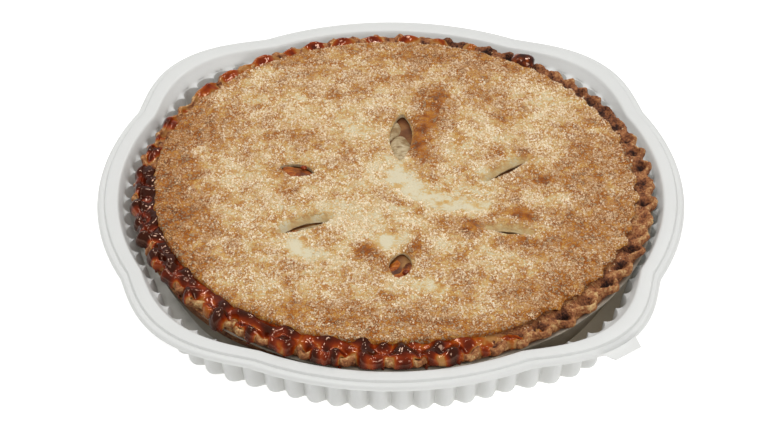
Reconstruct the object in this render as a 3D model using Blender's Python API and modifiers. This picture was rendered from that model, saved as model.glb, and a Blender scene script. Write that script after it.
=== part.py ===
# Double-crust apple pie in its foil tin, standing in a lobed plastic tray
# Metres, +Z up. The origin is on the table, under the middle of the tray.

import math

import bmesh
import bpy
from mathutils import Vector, noise

# Driving dimensions, shared
GAP = 0.0003                  # air left between two pieces that touch
TURN = 2 * math.pi
FLAT = 0.000001               # a loop whose heights differ by less counts as flat
MERGE = 0.00001               # points nearer than this become one

# Tray: a thin formed sheet, round on its four sides, with a lobe at each corner
TRAY_HEIGHT = 0.038           # table to the flat top of the rim
TRAY_WALL = 0.0010
TRAY_STATIONS = 76            # points round the smooth part of the rim
LOBE_REACH = 0.0136           # how far a corner lobe stands out past the round side
LOBE_HALF_ANGLE = math.radians(18.4)
LOBE_FULLNESS = 1.25          # 2 would make slim lobes, 1 full ones with a crease at their feet
# The thin sheet is a little warped: reach of the far right, far left, near left and near right lobe
LOBE_SHARES = (0.80, 0.96, 0.72, 1.06)
FLUTE_COUNT = 76
FLUTE_STATIONS = 4            # points across one flute
FLUTE_DEPTH = 0.0016          # half of the flute's depth
FLUTE_SHARPNESS = 0.6         # below 1: narrow ribs inside, wide scallops outside
# Sections of the sheet from the hem to the flutes: radius, drop below the rim, share of the lobe
RIM_SECTIONS = (
    (0.1711, 0.0038, 1.00),   # hem of the skirt
    (0.1704, 0.0026, 1.00),   # face of the lip
    (0.1689, 0.0019, 1.00),   # top of the lip
    (0.1670, 0.0023, 1.00),   # groove
    (0.1661, 0.0000, 1.00),   # flat band, outer edge
    (0.1591, 0.0000, 0.90),   # flat band, inner edge
    (0.1580, 0.0018, 0.86),   # hollow of the upper wall
    (0.1568, 0.0044, 0.76),
)
FLUTE_TOP = (0.1540, 0.0070, 0.66)
FLUTE_FOOT_RADIUS = 0.1478
FLUTE_FOOT_SHARE = 0.74

# Tab under the lip, at the lobe nearest the viewer's right
TAB_ANGLE = math.radians(-53.0)
TAB_ASIDE = 0.0195            # its middle line passes the tray's axis at this distance
TAB_ROOT = 0.1798             # along that line, from its nearest point to the axis
TAB_TIP = 0.1908
TAB_ROOT_WIDTH = 0.0265
TAB_TIP_WIDTH = 0.0180
TAB_THICKNESS = 0.0009
TAB_DROP = 0.0028             # top of the tab below the rim

# The pie stands a little off the tray's middle
PIE_X = 0.0010
PIE_Y = -0.0034

# Foil tin
TIN_STEPS = 56
TIN_FOIL = 0.0005
TIN_BASE_RADIUS = 0.1340
TIN_WALL_RADIUS = 0.1502      # top of the sloping wall
TIN_RIM_RADIUS = 0.1526
TIN_HEIGHT = 0.0346           # height of the rim above the table
TIN_CURL = 0.0008             # drop of the rim's turned-down edge
TIN_FLOOR = TRAY_WALL + GAP   # underside of the tin

# Bottom crust
CRUST_STATIONS = 78           # one for each ruffle
RUFFLE_STATIONS = 3           # points across one ruffle
CRUST_THICKNESS = 0.0042
SEAT_HEIGHT = 0.0408          # flat seat that carries the top crust
SEAT_INNER = 0.1370
SEAT_OUTER = 0.1426
PIT_RADIUS = 0.1460           # hollow between the seat and the standing ruffle
PIT_DEPTH = 0.0022
RIDGE_RADIUS = 0.1503
RIDGE_HEIGHT = 0.0411
EDGE_RADIUS = 0.1528
EDGE_HEIGHT = 0.0386
RUFFLE_REACH = 0.0017         # how far a ruffle swings out and in
RUFFLE_RISE = 0.0006
CRUST_WANDER = 0.0010         # the rolled crust is never quite round
POCKET_LEDGE = 0.0015         # the seat's inner edge overhangs the pocket by this much
POCKET_CORNER = 0.0020        # the pocket's floor is rounded off at this height
POCKET_FLOOR_INSET = 0.0030
FOOT_CORNER = 0.0015          # the same for the crust's underside in the tin
FOOT_INSET = 0.0020
EDGE_UNDERCUT = 0.0022        # the standing edge's underside lies this far in
EDGE_SLOPE = 0.0006           # and drops this much towards the tin
TIN_OVERLAP = 0.0010          # depth of the first ring below the tin's rim
UNDERSIDE_HEIGHT = TIN_HEIGHT + 0.0015

# Top crust
LID_RADIUS = 0.1414
LID_THICKNESS = 0.0038
LID_EDGE_HEIGHT = SEAT_HEIGHT + GAP + LID_THICKNESS
LID_CROWN_HEIGHT = 0.0494
LID_FALL = 3.4                # power of the dome's fall towards its edge
LID_ROUNDING = 0.0022         # width of the rounded edge
LID_ROUNDING_DROP = 0.0004
LID_UNDERCUT = 0.0008
LUMP_SIZE = 0.042             # spacing of the lumps that the apples make
LUMP_RISE = 0.0013
# Sunken and raised places of the dome: x, y, rise, reach, from the pie's middle
SWELLS = (
    (0.018, -0.010, -0.0020, 0.024),   # pale valley right of the middle
    (0.044, -0.028, -0.0016, 0.020),
    (0.024, 0.050, 0.0018, 0.024),     # brown ridge beside the far slit
    (-0.050, -0.068, -0.0014, 0.022),  # pale dip at the near left
    (0.020, -0.098, -0.0012, 0.020),
    (0.040, -0.055, 0.0014, 0.020),
    (-0.060, -0.020, 0.0015, 0.024),
    (0.066, 0.026, 0.0013, 0.022),
)

# Six slits cut in the top crust: x, y, direction in degrees, length, width
SLITS = (
    (0.0055, 0.0425, 88.0, 0.040, 0.0110),
    (-0.0530, 0.0110, -30.0, 0.028, 0.0075),
    (-0.0490, -0.0395, 22.0, 0.032, 0.0065),
    (0.0036, -0.0715, 90.0, 0.028, 0.0115),
    (0.0655, -0.0450, -8.0, 0.028, 0.0065),
    (0.0660, 0.0095, 37.0, 0.031, 0.0070),
)
SLIT_SIDES = 12
BLADE_DEPTH = 0.030
BLADE_TAPER = 1.2             # above 0: the blade narrows to points at its ends

# Filling
FILLING_CORNER = 0.0020
FILLING_FLOOR_INSET = 0.0040

# Filling that boiled over and set on the rim, from the far side round the left to the front
SYRUP_FROM = math.radians(64.0)
SYRUP_TO = math.radians(302.0)
SYRUP_INNER = 0.1422
SYRUP_OUTER = 0.1526
SYRUP_BED = RIDGE_HEIGHT + RUFFLE_RISE + GAP
SYRUP_THIN = 0.0012
SYRUP_THICK = 0.0034
SYRUP_LUMP_SIZE = 0.011
SYRUP_STATIONS = 2            # points across one ruffle
SYRUP_SWING = 0.0011          # the outer edge follows the ruffles
SYRUP_WANDER = 0.0010
SYRUP_MEAN_LUMP = 0.45        # share of the full thickness where the noise is zero
SYRUP_NOISE = 0.7
SYRUP_PINCH = 0.3             # how much more gathers between two ruffles
SYRUP_SHOULDER_IN = 0.0014    # the rounded shoulders: distance from the edge and drop
SYRUP_SHOULDER_OUT = 0.0018
SYRUP_DROP_IN = 0.0004
SYRUP_DROP_OUT = 0.0006

# One large drop of it on its own, at the far right
BEAD_ANGLE = math.radians(57.0)
BEAD_RADIUS = 0.1472
BEAD_LENGTH = 0.0160
BEAD_WIDTH = 0.0106
BEAD_HEIGHT = 0.0056


def clear_scene():
    for item in list(bpy.data.objects):
        bpy.data.objects.remove(item, do_unlink=True)


def new_collection(name):
    collection = bpy.data.collections.new(name)
    bpy.context.scene.collection.children.link(collection)
    return collection


def material(name, colour, roughness, metallic=0.0):
    made = bpy.data.materials.new(name)
    made.use_nodes = True
    shader = made.node_tree.nodes["Principled BSDF"]
    shader.inputs["Base Color"].default_value = (*colour, 1.0)
    shader.inputs["Roughness"].default_value = roughness
    shader.inputs["Metallic"].default_value = metallic
    return made


def new_object(name, mesh, collection, finish=None):
    item = bpy.data.objects.new(name, mesh)
    collection.objects.link(item)
    if finish is not None:
        mesh.materials.append(finish)
    return item


def at(angle, radius, height):
    return (radius * math.cos(angle), radius * math.sin(angle), height)


def ring(count, place):
    """A closed ring of points: place gives the point at each angle."""
    return [place(TURN * step / count) for step in range(count)]


def loft(name, rings, start_closed, end_closed):
    """Skin a row of rings, listed from the underside's middle out and over the edge to the
    upper face's middle. A ring may have a whole number of times its neighbour's points."""
    form = bmesh.new()
    rows = [[form.verts.new(point) for point in points] for points in rings]
    for first, second in zip(rows, rows[1:]):
        if leads(first, second):
            bridge(form, first, second, False)
        else:
            bridge(form, second, first, True)
    if start_closed:
        cap(form, rows[0][::-1])
    if end_closed:
        cap(form, rows[-1])
    mesh = bpy.data.meshes.new(name)
    form.to_mesh(mesh)
    form.free()
    return mesh


def leads(first, second):
    """The ring with fewer points leads, or else the inner one, so that two lofts over the same
    rings are split into the same triangles."""
    if len(first) != len(second):
        return len(first) < len(second)
    return first[0].co.xy.length <= second[0].co.xy.length


def bridge(form, coarse, fine, turned):
    share = len(fine) // len(coarse)
    split = (share + 1) // 2
    for step in range(len(coarse)):
        near = coarse[step]
        far = coarse[(step + 1) % len(coarse)]
        across = [fine[(share * step + k) % len(fine)] for k in range(share + 1)]
        faces = [(near, across[k + 1], across[k]) for k in range(split)]
        faces.append((near, far, across[split]))
        faces += [(far, across[k + 1], across[k]) for k in range(split, share)]
        for face in faces:
            form.faces.new(face[::-1] if turned else face)


def cap(form, loop):
    """Close a loop of points: flat with one face, or else with a fan round its middle."""
    heights = [point.co.z for point in loop]
    if max(heights) - min(heights) < FLAT:
        form.faces.new(loop)
        return
    middle = form.verts.new(sum((point.co for point in loop), Vector()) / len(loop))
    for step in range(len(loop)):
        form.faces.new((loop[step], loop[(step + 1) % len(loop)], middle))


def lobe(angle):
    """Reach of a corner lobe, greatest at its middle, and 0 along the round sides."""
    quarter = TURN / 4
    share = LOBE_SHARES[int(angle % TURN // quarter)]
    off = (angle % quarter) - quarter / 2
    if abs(off) >= LOBE_HALF_ANGLE:
        return 0.0
    return share * math.cos(off / LOBE_HALF_ANGLE * quarter) ** LOBE_FULLNESS


def tray_radius(angle, radius, share):
    return radius + share * LOBE_REACH * lobe(angle)


def flute(angle):
    """The wall's flutes: -1 on a rib that points inwards, 1 at the bottom of a scallop."""
    phase = angle * FLUTE_COUNT / 2
    return 2 * abs(math.sin(phase)) ** FLUTE_SHARPNESS - 1


def rim_ring(section):
    radius, drop, share = section
    height = TRAY_HEIGHT - drop
    return ring(TRAY_STATIONS, lambda angle: at(angle, tray_radius(angle, radius, share), height))


def flute_ring(radius, height, share):
    def place(angle):
        return at(angle, tray_radius(angle, radius, share) + FLUTE_DEPTH * flute(angle), height)
    return ring(FLUTE_COUNT * FLUTE_STATIONS, place)


def tray_tab():
    """The thumb tab: a thin plate that narrows outwards, its root inside the lip's skirt."""
    plate = bmesh.new()
    bmesh.ops.create_cube(plate, size=1.0)
    middle_height = TRAY_HEIGHT - TAB_DROP - TAB_THICKNESS / 2
    for corner in plate.verts:
        outer = corner.co.x > 0
        width = TAB_TIP_WIDTH if outer else TAB_ROOT_WIDTH
        along = TAB_TIP if outer else TAB_ROOT
        aside = TAB_ASIDE + corner.co.y * width
        corner.co = Vector((along, aside, middle_height + corner.co.z * TAB_THICKNESS))
    mesh = bpy.data.meshes.new("tab_plate")
    plate.to_mesh(mesh)
    plate.free()
    return mesh


def add_tray(parts, helpers):
    top_radius, top_drop, top_share = FLUTE_TOP
    rings = [rim_ring(section) for section in RIM_SECTIONS]
    rings.append(flute_ring(top_radius, TRAY_HEIGHT - top_drop, top_share))
    rings.append(flute_ring(FLUTE_FOOT_RADIUS, TRAY_WALL, FLUTE_FOOT_SHARE))
    finish = material("tray_plastic", (0.86, 0.87, 0.86), 0.35)
    tray = new_object("tray", loft("tray", rings, False, True), parts, finish)
    wall = tray.modifiers.new("wall", "SOLIDIFY")
    wall.thickness = TRAY_WALL
    wall.offset = -1.0
    tab = new_object("tab_plate", tray_tab(), helpers)
    tab.rotation_euler.z = TAB_ANGLE
    hide(tab)
    join = tray.modifiers.new("tab", "BOOLEAN")
    join.operation = "UNION"
    join.object = tab
    return tray


def hide(helper):
    helper.hide_render = True
    helper.display_type = "WIRE"


def turned(name, profile, steps, collection, finish):
    """A profile of (radius, height) points, turned about the pie's own axis."""
    mesh = bpy.data.meshes.new(name)
    edges = [(step, step + 1) for step in range(len(profile) - 1)]
    mesh.from_pydata([(radius, 0.0, height) for radius, height in profile], edges, [])
    item = new_object(name, mesh, collection, finish)
    screw = item.modifiers.new("turn", "SCREW")
    screw.steps = steps
    screw.render_steps = steps
    screw.use_merge_vertices = True
    screw.merge_threshold = MERGE
    item.location = (PIE_X, PIE_Y, 0.0)
    return item


def add_tin(parts):
    """Foil seen as one closed wall: inside from the rim down, then back up the outside."""
    wall_run = TIN_HEIGHT - TIN_FLOOR
    slope = (TIN_WALL_RADIUS - TIN_BASE_RADIUS) / wall_run
    skin = TIN_FOIL * math.sqrt(1 + slope * slope)
    inner_floor = TIN_FLOOR + TIN_FOIL
    rim_under = TIN_HEIGHT - TIN_FOIL
    profile = [
        (0.0, inner_floor),
        (TIN_BASE_RADIUS - skin, inner_floor),
        (TIN_WALL_RADIUS - skin, TIN_HEIGHT),
        (TIN_RIM_RADIUS, TIN_HEIGHT),
        (TIN_RIM_RADIUS, TIN_HEIGHT - TIN_CURL),
        (TIN_RIM_RADIUS - TIN_FOIL, TIN_HEIGHT - TIN_CURL),
        (TIN_RIM_RADIUS - TIN_FOIL, rim_under),
        (TIN_WALL_RADIUS, rim_under),
        (TIN_BASE_RADIUS, TIN_FLOOR),
        (0.0, TIN_FLOOR),
    ]
    finish = material("tin_foil", (0.72, 0.72, 0.70), 0.38, 1.0)
    return turned("tin", profile, TIN_STEPS, parts, finish)


def tin_inside(height):
    """Radius of the tin's inner wall at a height."""
    run = (height - TIN_FLOOR) / (TIN_HEIGHT - TIN_FLOOR)
    return TIN_BASE_RADIUS + run * (TIN_WALL_RADIUS - TIN_BASE_RADIUS) - 2 * TIN_FOIL


def crust_wander(angle):
    """A slow wander of the rim, in and out."""
    spot = Vector((1.7 * math.cos(angle), 1.7 * math.sin(angle), 0.4))
    return CRUST_WANDER * noise.noise(spot)


def ruffle(angle):
    """1 where the standing edge is pushed out, about -0.5 where it is pinched in."""
    size = 1.0 + 0.35 * noise.noise(Vector((5.0 * math.cos(angle), 5.0 * math.sin(angle), 2.0)))
    return size * math.cos(CRUST_STATIONS * angle)


def plain_ring(radius, height):
    return ring(CRUST_STATIONS, lambda angle: at(angle, radius, height))


def ruffled_ring(radius, height, swing, rise):
    def place(angle):
        push = ruffle(angle)
        return at(angle, radius + crust_wander(angle) + swing * push, height + rise * push)
    return ring(CRUST_STATIONS * RUFFLE_STATIONS, place)


def pocket_radius(height):
    """Radius of the bottom crust's inner wall, which the filling fills."""
    return min(tin_inside(height) - GAP - CRUST_THICKNESS, SEAT_INNER - POCKET_LEDGE)


def add_bottom_crust(parts):
    floor = TIN_FLOOR + TIN_FOIL + GAP
    pocket_floor = floor + CRUST_THICKNESS
    corner = pocket_floor + POCKET_CORNER
    rings = [
        plain_ring(pocket_radius(pocket_floor) - POCKET_FLOOR_INSET, pocket_floor),
        plain_ring(pocket_radius(corner), corner),
        plain_ring(pocket_radius(TIN_HEIGHT), TIN_HEIGHT),
        plain_ring(SEAT_INNER, SEAT_HEIGHT),
        ruffled_ring(SEAT_OUTER, SEAT_HEIGHT, 0.0, 0.0),
        ruffled_ring(PIT_RADIUS, SEAT_HEIGHT - PIT_DEPTH / 2, RUFFLE_REACH, -PIT_DEPTH / 2),
        ruffled_ring(RIDGE_RADIUS, RIDGE_HEIGHT, RUFFLE_REACH, RUFFLE_RISE),
        ruffled_ring(EDGE_RADIUS, EDGE_HEIGHT, RUFFLE_REACH, 0.0),
        ruffled_ring(EDGE_RADIUS - EDGE_UNDERCUT, UNDERSIDE_HEIGHT, RUFFLE_REACH / 2, 0.0),
        plain_ring(tin_inside(TIN_HEIGHT) - GAP, UNDERSIDE_HEIGHT - EDGE_SLOPE),
        plain_ring(tin_inside(TIN_HEIGHT) - 2 * GAP, TIN_HEIGHT - TIN_OVERLAP),
        plain_ring(tin_inside(floor) - 2 * GAP, floor + FOOT_CORNER),
        plain_ring(tin_inside(floor) - FOOT_INSET, floor),
    ]
    finish = material("baked_rim_crust", (0.52, 0.27, 0.11), 0.62)
    crust = new_object("bottom_crust", loft("bottom_crust", rings[::-1], True, True), parts, finish)
    crust.location = (PIE_X, PIE_Y, 0.0)
    return crust


def dome(x, y):
    """Height of the top crust's upper face."""
    reach = min(math.hypot(x, y) / LID_RADIUS, 1.0)
    fall = reach ** LID_FALL
    height = LID_CROWN_HEIGHT - (LID_CROWN_HEIGHT - LID_EDGE_HEIGHT) * fall
    lumps = LUMP_RISE * noise.noise(Vector((x / LUMP_SIZE, y / LUMP_SIZE, 3.1)))
    for swell_x, swell_y, rise, size in SWELLS:
        lumps += rise * math.exp(-((x - swell_x) ** 2 + (y - swell_y) ** 2) / size ** 2)
    return height + lumps * (1.0 - fall)


def lid_underside(x, y):
    return max(dome(x, y) - LID_THICKNESS, SEAT_HEIGHT + GAP)


def surface_ring(count, radius, surface, lift=0.0):
    def place(angle):
        x, y, _ = at(angle, radius, 0.0)
        return (x, y, surface(x, y) + lift)
    return ring(count, place)


# Radii and point counts of the rings that the lid's faces and the filling's top share
UNDERSIDE_RINGS = ((0.016, 13), (0.044, 39), (0.082, 78), (0.114, 78), (0.1345, 78))
TOP_RINGS = ((0.013, 13), (0.032, 39), (0.054, 78), (0.078, 78), (0.100, 78), (0.118, 78),
             (0.132, 78))


def add_top_crust(parts, helpers):
    edge_top = LID_RADIUS - LID_ROUNDING
    rings = [surface_ring(count, radius, dome) for radius, count in TOP_RINGS]
    rings.append(surface_ring(CRUST_STATIONS, edge_top, dome, -LID_ROUNDING_DROP))
    rings.append(plain_ring(LID_RADIUS, SEAT_HEIGHT + LID_THICKNESS / 2))
    rings.append(plain_ring(LID_RADIUS - LID_UNDERCUT, SEAT_HEIGHT + GAP))
    rings += [surface_ring(count, radius, lid_underside) for radius, count in UNDERSIDE_RINGS[::-1]]
    finish = material("baked_top_crust", (0.66, 0.42, 0.20), 0.68)
    lid = new_object("top_crust", loft("top_crust", rings[::-1], True, True), parts, finish)
    lid.location = (PIE_X, PIE_Y, 0.0)
    knife = new_object("slit_cutter", slit_blades(), helpers)
    knife.location = (PIE_X, PIE_Y, 0.0)
    hide(knife)
    cut = lid.modifiers.new("slits", "BOOLEAN")
    cut.operation = "DIFFERENCE"
    cut.object = knife
    return lid


def slit_blades():
    """Six upright almond-shaped blades, one for each slit."""
    blades = bmesh.new()
    for x, y, direction, length, width in SLITS:
        made = bmesh.ops.create_cone(blades, cap_ends=True, segments=SLIT_SIDES, radius1=0.5,
                                     radius2=0.5, depth=BLADE_DEPTH)
        turn = math.radians(direction)
        for corner in made["verts"]:
            taper = 1.0 - BLADE_TAPER * corner.co.x ** 2
            along = corner.co.x * length
            across = corner.co.y * width * taper
            corner.co.x = x + along * math.cos(turn) - across * math.sin(turn)
            corner.co.y = y + along * math.sin(turn) + across * math.cos(turn)
            corner.co.z += LID_CROWN_HEIGHT
    mesh = bpy.data.meshes.new("slit_cutter")
    blades.to_mesh(mesh)
    blades.free()
    return mesh


def add_filling(parts):
    """Apples and syrup, from the bottom crust's pocket up to the top crust."""
    floor = TIN_FLOOR + TIN_FOIL + GAP + CRUST_THICKNESS + GAP
    corner = floor + FILLING_CORNER
    rings = [surface_ring(count, radius, lid_underside, -GAP) for radius, count in UNDERSIDE_RINGS]
    rings.append(plain_ring(pocket_radius(TIN_HEIGHT) - 2 * GAP, TIN_HEIGHT))
    rings.append(plain_ring(pocket_radius(corner) - 2 * GAP, corner))
    rings.append(plain_ring(pocket_radius(corner) - FILLING_FLOOR_INSET, floor))
    finish = material("apple_filling", (0.58, 0.27, 0.07), 0.22)
    filling = new_object("filling", loft("filling", rings[::-1], True, True), parts, finish)
    filling.location = (PIE_X, PIE_Y, 0.0)
    return filling


def syrup_height(angle, radius):
    """Height of the set syrup's upper face: it gathers in blobs between the ruffles."""
    spot = Vector(at(angle, radius, 0.0)) / SYRUP_LUMP_SIZE
    pinch = SYRUP_PINCH * math.cos(CRUST_STATIONS * angle)
    lump = SYRUP_MEAN_LUMP + SYRUP_NOISE * noise.noise(spot) - pinch
    lump = max(0.0, min(1.0, lump))
    return SYRUP_BED + SYRUP_THIN + (SYRUP_THICK - SYRUP_THIN) * lump


def syrup_outline(form, angle):
    """Cross-section of the syrup at one angle, as five points of the form."""
    slow = noise.noise(Vector((9.0 * math.cos(angle), 9.0 * math.sin(angle), 7.0)))
    outer = SYRUP_OUTER + SYRUP_WANDER * slow + SYRUP_SWING * math.cos(CRUST_STATIONS * angle)
    shoulder_in = SYRUP_INNER + SYRUP_SHOULDER_IN
    shoulder_out = outer - SYRUP_SHOULDER_OUT
    middle = (SYRUP_INNER + outer) / 2
    outline = (
        at(angle, SYRUP_INNER, SYRUP_BED),
        at(angle, shoulder_in, syrup_height(angle, shoulder_in) - SYRUP_DROP_IN),
        at(angle, middle, syrup_height(angle, middle)),
        at(angle, shoulder_out, syrup_height(angle, shoulder_out) - SYRUP_DROP_OUT),
        at(angle, outer, SYRUP_BED),
    )
    return [form.verts.new(point) for point in outline]


def add_syrup_ring(parts):
    pitch = TURN / CRUST_STATIONS / SYRUP_STATIONS
    count = int((SYRUP_TO - SYRUP_FROM) / pitch)
    form = bmesh.new()
    sections = [syrup_outline(form, SYRUP_FROM + step * pitch) for step in range(count + 1)]
    for first, second in zip(sections, sections[1:]):
        for corner in range(len(first)):
            following = (corner + 1) % len(first)
            form.faces.new((first[corner], first[following], second[following], second[corner]))
    form.faces.new(sections[0][::-1])
    form.faces.new(sections[-1])
    mesh = bpy.data.meshes.new("syrup_ring")
    form.to_mesh(mesh)
    form.free()
    finish = material("set_syrup", (0.22, 0.045, 0.015), 0.12)
    syrup = new_object("syrup_ring", mesh, parts, finish)
    syrup.location = (PIE_X, PIE_Y, 0.0)
    return syrup


def add_syrup_bead(parts):
    drop = bmesh.new()
    bmesh.ops.create_icosphere(drop, subdivisions=2, radius=0.5)
    for point in drop.verts:
        point.co = Vector((point.co.x * BEAD_WIDTH, point.co.y * BEAD_LENGTH, point.co.z * BEAD_HEIGHT))
    mesh = bpy.data.meshes.new("syrup_bead")
    drop.to_mesh(mesh)
    drop.free()
    finish = material("dark_syrup", (0.10, 0.02, 0.01), 0.10)
    bead = new_object("syrup_bead", mesh, parts, finish)
    x, y, _ = at(BEAD_ANGLE, BEAD_RADIUS, 0.0)
    bead.location = (PIE_X + x, PIE_Y + y, SYRUP_BED + BEAD_HEIGHT / 2)
    bead.rotation_euler.z = BEAD_ANGLE
    return bead


def main():
    clear_scene()
    parts = new_collection("apple_pie")
    helpers = new_collection("helpers")
    add_tray(parts, helpers)
    add_tin(parts)
    add_bottom_crust(parts)
    add_filling(parts)
    top_crust = add_top_crust(parts, helpers)
    syrup = add_syrup_ring(parts)
    bead = add_syrup_bead(parts)
    for item in (top_crust, syrup, bead):
        item.data.shade_smooth()


main()
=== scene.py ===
# %% [markdown]
# An apple pie in its foil tin, set in a white plastic tray with four lobed corners. The frame holds
# the plain solids of the pie. This lesson models each of them again as it looks, in place, and
# gives every surface a finish. Everything is in metres, with +Z up and the near side towards -Y.

import math

import bpy
import numpy as np
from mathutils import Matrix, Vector, noise
from mathutils.bvhtree import BVHTree


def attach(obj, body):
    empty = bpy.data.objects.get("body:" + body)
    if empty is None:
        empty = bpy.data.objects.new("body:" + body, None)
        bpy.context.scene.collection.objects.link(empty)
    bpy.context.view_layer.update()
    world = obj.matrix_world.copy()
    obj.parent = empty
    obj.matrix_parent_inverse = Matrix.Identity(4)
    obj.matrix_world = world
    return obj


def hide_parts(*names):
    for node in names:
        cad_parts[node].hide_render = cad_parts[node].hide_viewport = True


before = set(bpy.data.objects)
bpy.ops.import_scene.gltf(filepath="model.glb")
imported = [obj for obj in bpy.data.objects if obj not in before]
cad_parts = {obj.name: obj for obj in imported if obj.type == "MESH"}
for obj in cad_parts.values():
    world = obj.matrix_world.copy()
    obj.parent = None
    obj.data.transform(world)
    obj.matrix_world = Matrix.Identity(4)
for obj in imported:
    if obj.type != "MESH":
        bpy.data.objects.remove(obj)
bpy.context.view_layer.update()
MM = 0.001
TURN = 2 * math.pi

# %% [markdown]
# The camera comes first, because every shape is judged through it. The pie was seen from 1.8 m with
# a long lens, looking down at 38.5 degrees. The middle of the tray's rim lies a little above the
# middle of the view, so the camera dips by half a degree instead of shifting its lens.

# %% Place the camera
RIM_TOP = 38.0 * MM
CAMERA_AWAY = 1.80
CAMERA_ELEVATION = math.radians(38.5)
CAMERA_DIP = math.radians(0.555)
CAMERA_TURN = math.radians(0.019)
LENS_LENGTH = 142.5

bpy.ops.object.camera_add(
    location=(0.0, -CAMERA_AWAY * math.cos(CAMERA_ELEVATION),
              RIM_TOP + CAMERA_AWAY * math.sin(CAMERA_ELEVATION)),
    rotation=(math.pi / 2 - CAMERA_ELEVATION - CAMERA_DIP, 0.0, CAMERA_TURN))
camera = bpy.context.object
camera.data.sensor_width = 36.0
camera.data.lens = LENS_LENGTH
bpy.context.scene.camera = camera
print("camera at", [round(v, 3) for v in camera.location])

# %% [markdown]
# Shader sums are easier to read as Python than as rows of nodes. A Wire wraps one socket, and sums
# on wires add Math nodes. A Finish is one material, and its node method adds any other node: the
# settings are set first, and then each socket gets a value or another wire.

# %% Wires and finishes
class Wire:
    """One socket of a finish, which can be used in a sum."""

    def __init__(self, finish, socket):
        self.finish = finish
        self.socket = socket

    def math(self, operation, first, second):
        return self.finish.node("ShaderNodeMath", {"operation": operation}, {0: first, 1: second})

    def __add__(self, other):
        return self.math("ADD", self, other)

    def __sub__(self, other):
        return self.math("SUBTRACT", self, other)

    def __rsub__(self, other):
        return self.math("SUBTRACT", other, self)

    def __mul__(self, other):
        return self.math("MULTIPLY", self, other)

    def between(self, low, high):
        """0 up to low, 1 from high, and a smooth climb between them."""
        settings = {"interpolation_type": "SMOOTHSTEP"}
        return self.finish.node("ShaderNodeMapRange", settings, {0: self, 1: low, 2: high})

    __radd__ = __add__
    __rmul__ = __mul__


class Finish:
    """A material made of a Principled shader and what feeds it."""

    def __init__(self, name, **constants):
        self.material = bpy.data.materials.new(name)
        self.material.use_nodes = True
        self.tree = self.material.node_tree
        self.shader = self.tree.nodes["Principled BSDF"]
        for socket, value in constants.items():
            self.shader.inputs[socket.replace("_", " ")].default_value = value

    def node(self, kind, settings=None, values=None, output=0):
        made = self.tree.nodes.new(kind)
        for setting, value in (settings or {}).items():
            if setting == "stops":
                self.set_stops(made.color_ramp, value)
            else:
                setattr(made, setting, value)
        for socket, value in (values or {}).items():
            self.feed(made.inputs[socket], value)
        return Wire(self, made.outputs[output])

    def set_stops(self, ramp, stops):
        while len(ramp.elements) < len(stops):
            ramp.elements.new(1.0)
        for element, (position, colour) in zip(ramp.elements, stops):
            element.position = position
            element.color = (*colour, 1.0)

    def feed(self, socket, value):
        if isinstance(value, Wire):
            self.tree.links.new(value.socket, socket)
        else:
            socket.default_value = value

    def feeds(self, **wires):
        for socket, value in wires.items():
            self.feed(self.shader.inputs[socket.replace("_", " ")], value)

    def speckle(self, size, detail=2.0, stretch=(1.0, 1.0, 1.0), distortion=0.0):
        """Noise from 0 to 1 whose lumps are about size metres across."""
        place = self.node("ShaderNodeTexCoord", output=3)
        place = self.node("ShaderNodeMapping", None, {0: place, 3: stretch})
        values = {"Vector": place, "Scale": 1 / size, "Detail": detail, "Distortion": distortion}
        return self.node("ShaderNodeTexNoise", None, values)

    def painted(self, name):
        """A number that the mesh carries at each point."""
        return self.node("ShaderNodeAttribute", {"attribute_name": name}, output=2)

    def mix(self, share, first, second):
        settings = {"data_type": "RGBA"}
        return self.node("ShaderNodeMix", settings, {0: share, 6: first, 7: second}, output=2)

    def ramp(self, value, stops):
        return self.node("ShaderNodeValToRGB", {"stops": stops}, {0: value})

    def bump(self, height, depth, under=None):
        values = {"Height": height, "Distance": depth, "Strength": 1.0}
        if under is not None:
            values["Normal"] = under
        return self.node("ShaderNodeBump", None, values)


def rgb(red, green, blue):
    return (red, green, blue, 1.0)


# %% [markdown]
# The pie was lit softly from all round, which leaves almost no shadow on the pale ground. Here the
# world gives that light, and the floor shines a little too, so that it stays as pale. One panel high
# above gives the relief its direction, a wide one at the near right brightens the side of the tray,
# and three small ones put the sparks on the syrup.

# %% Floor and lights
def add_panel(name, place, target, width, power):
    """A square light panel at a place, facing a target."""
    bpy.ops.object.light_add(type="AREA", location=place)
    panel = bpy.context.object
    panel.name = name
    panel.rotation_euler = (Vector(target) - Vector(place)).to_track_quat("-Z", "Y").to_euler()
    panel.data.size = width
    panel.data.energy = power


WORLD_LIGHT = 0.33
FLOOR_GLOW = 1.6
LIGHT_TARGET = (0.0, 0.0, RIM_TOP)
# Name, place and width in metres, power in watts
PANELS = (
    ("top_panel", (-0.25, 0.35, 1.65), 0.42, 7.8), ("near_panel", (1.00, -1.20, 1.25), 0.70, 12.0),
    ("spark_panel_0", (-0.95, 0.75, 1.25), 0.20, 3.2), ("spark_panel_1", (0.45, 1.05, 1.25), 0.20, 3.2),
    ("spark_panel_2", (-0.60, -0.45, 1.55), 0.20, 3.2),
)

world = bpy.data.worlds.new("soft_world")
bpy.context.scene.world = world
world.use_nodes = True
background = world.node_tree.nodes["Background"]
background.inputs["Color"].default_value = rgb(1.0, 1.0, 1.0)
background.inputs["Strength"].default_value = WORLD_LIGHT
bpy.context.scene.view_settings.view_transform = "Standard"
for name, place, width, power in PANELS:
    add_panel(name, place, LIGHT_TARGET, width, power)

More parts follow.
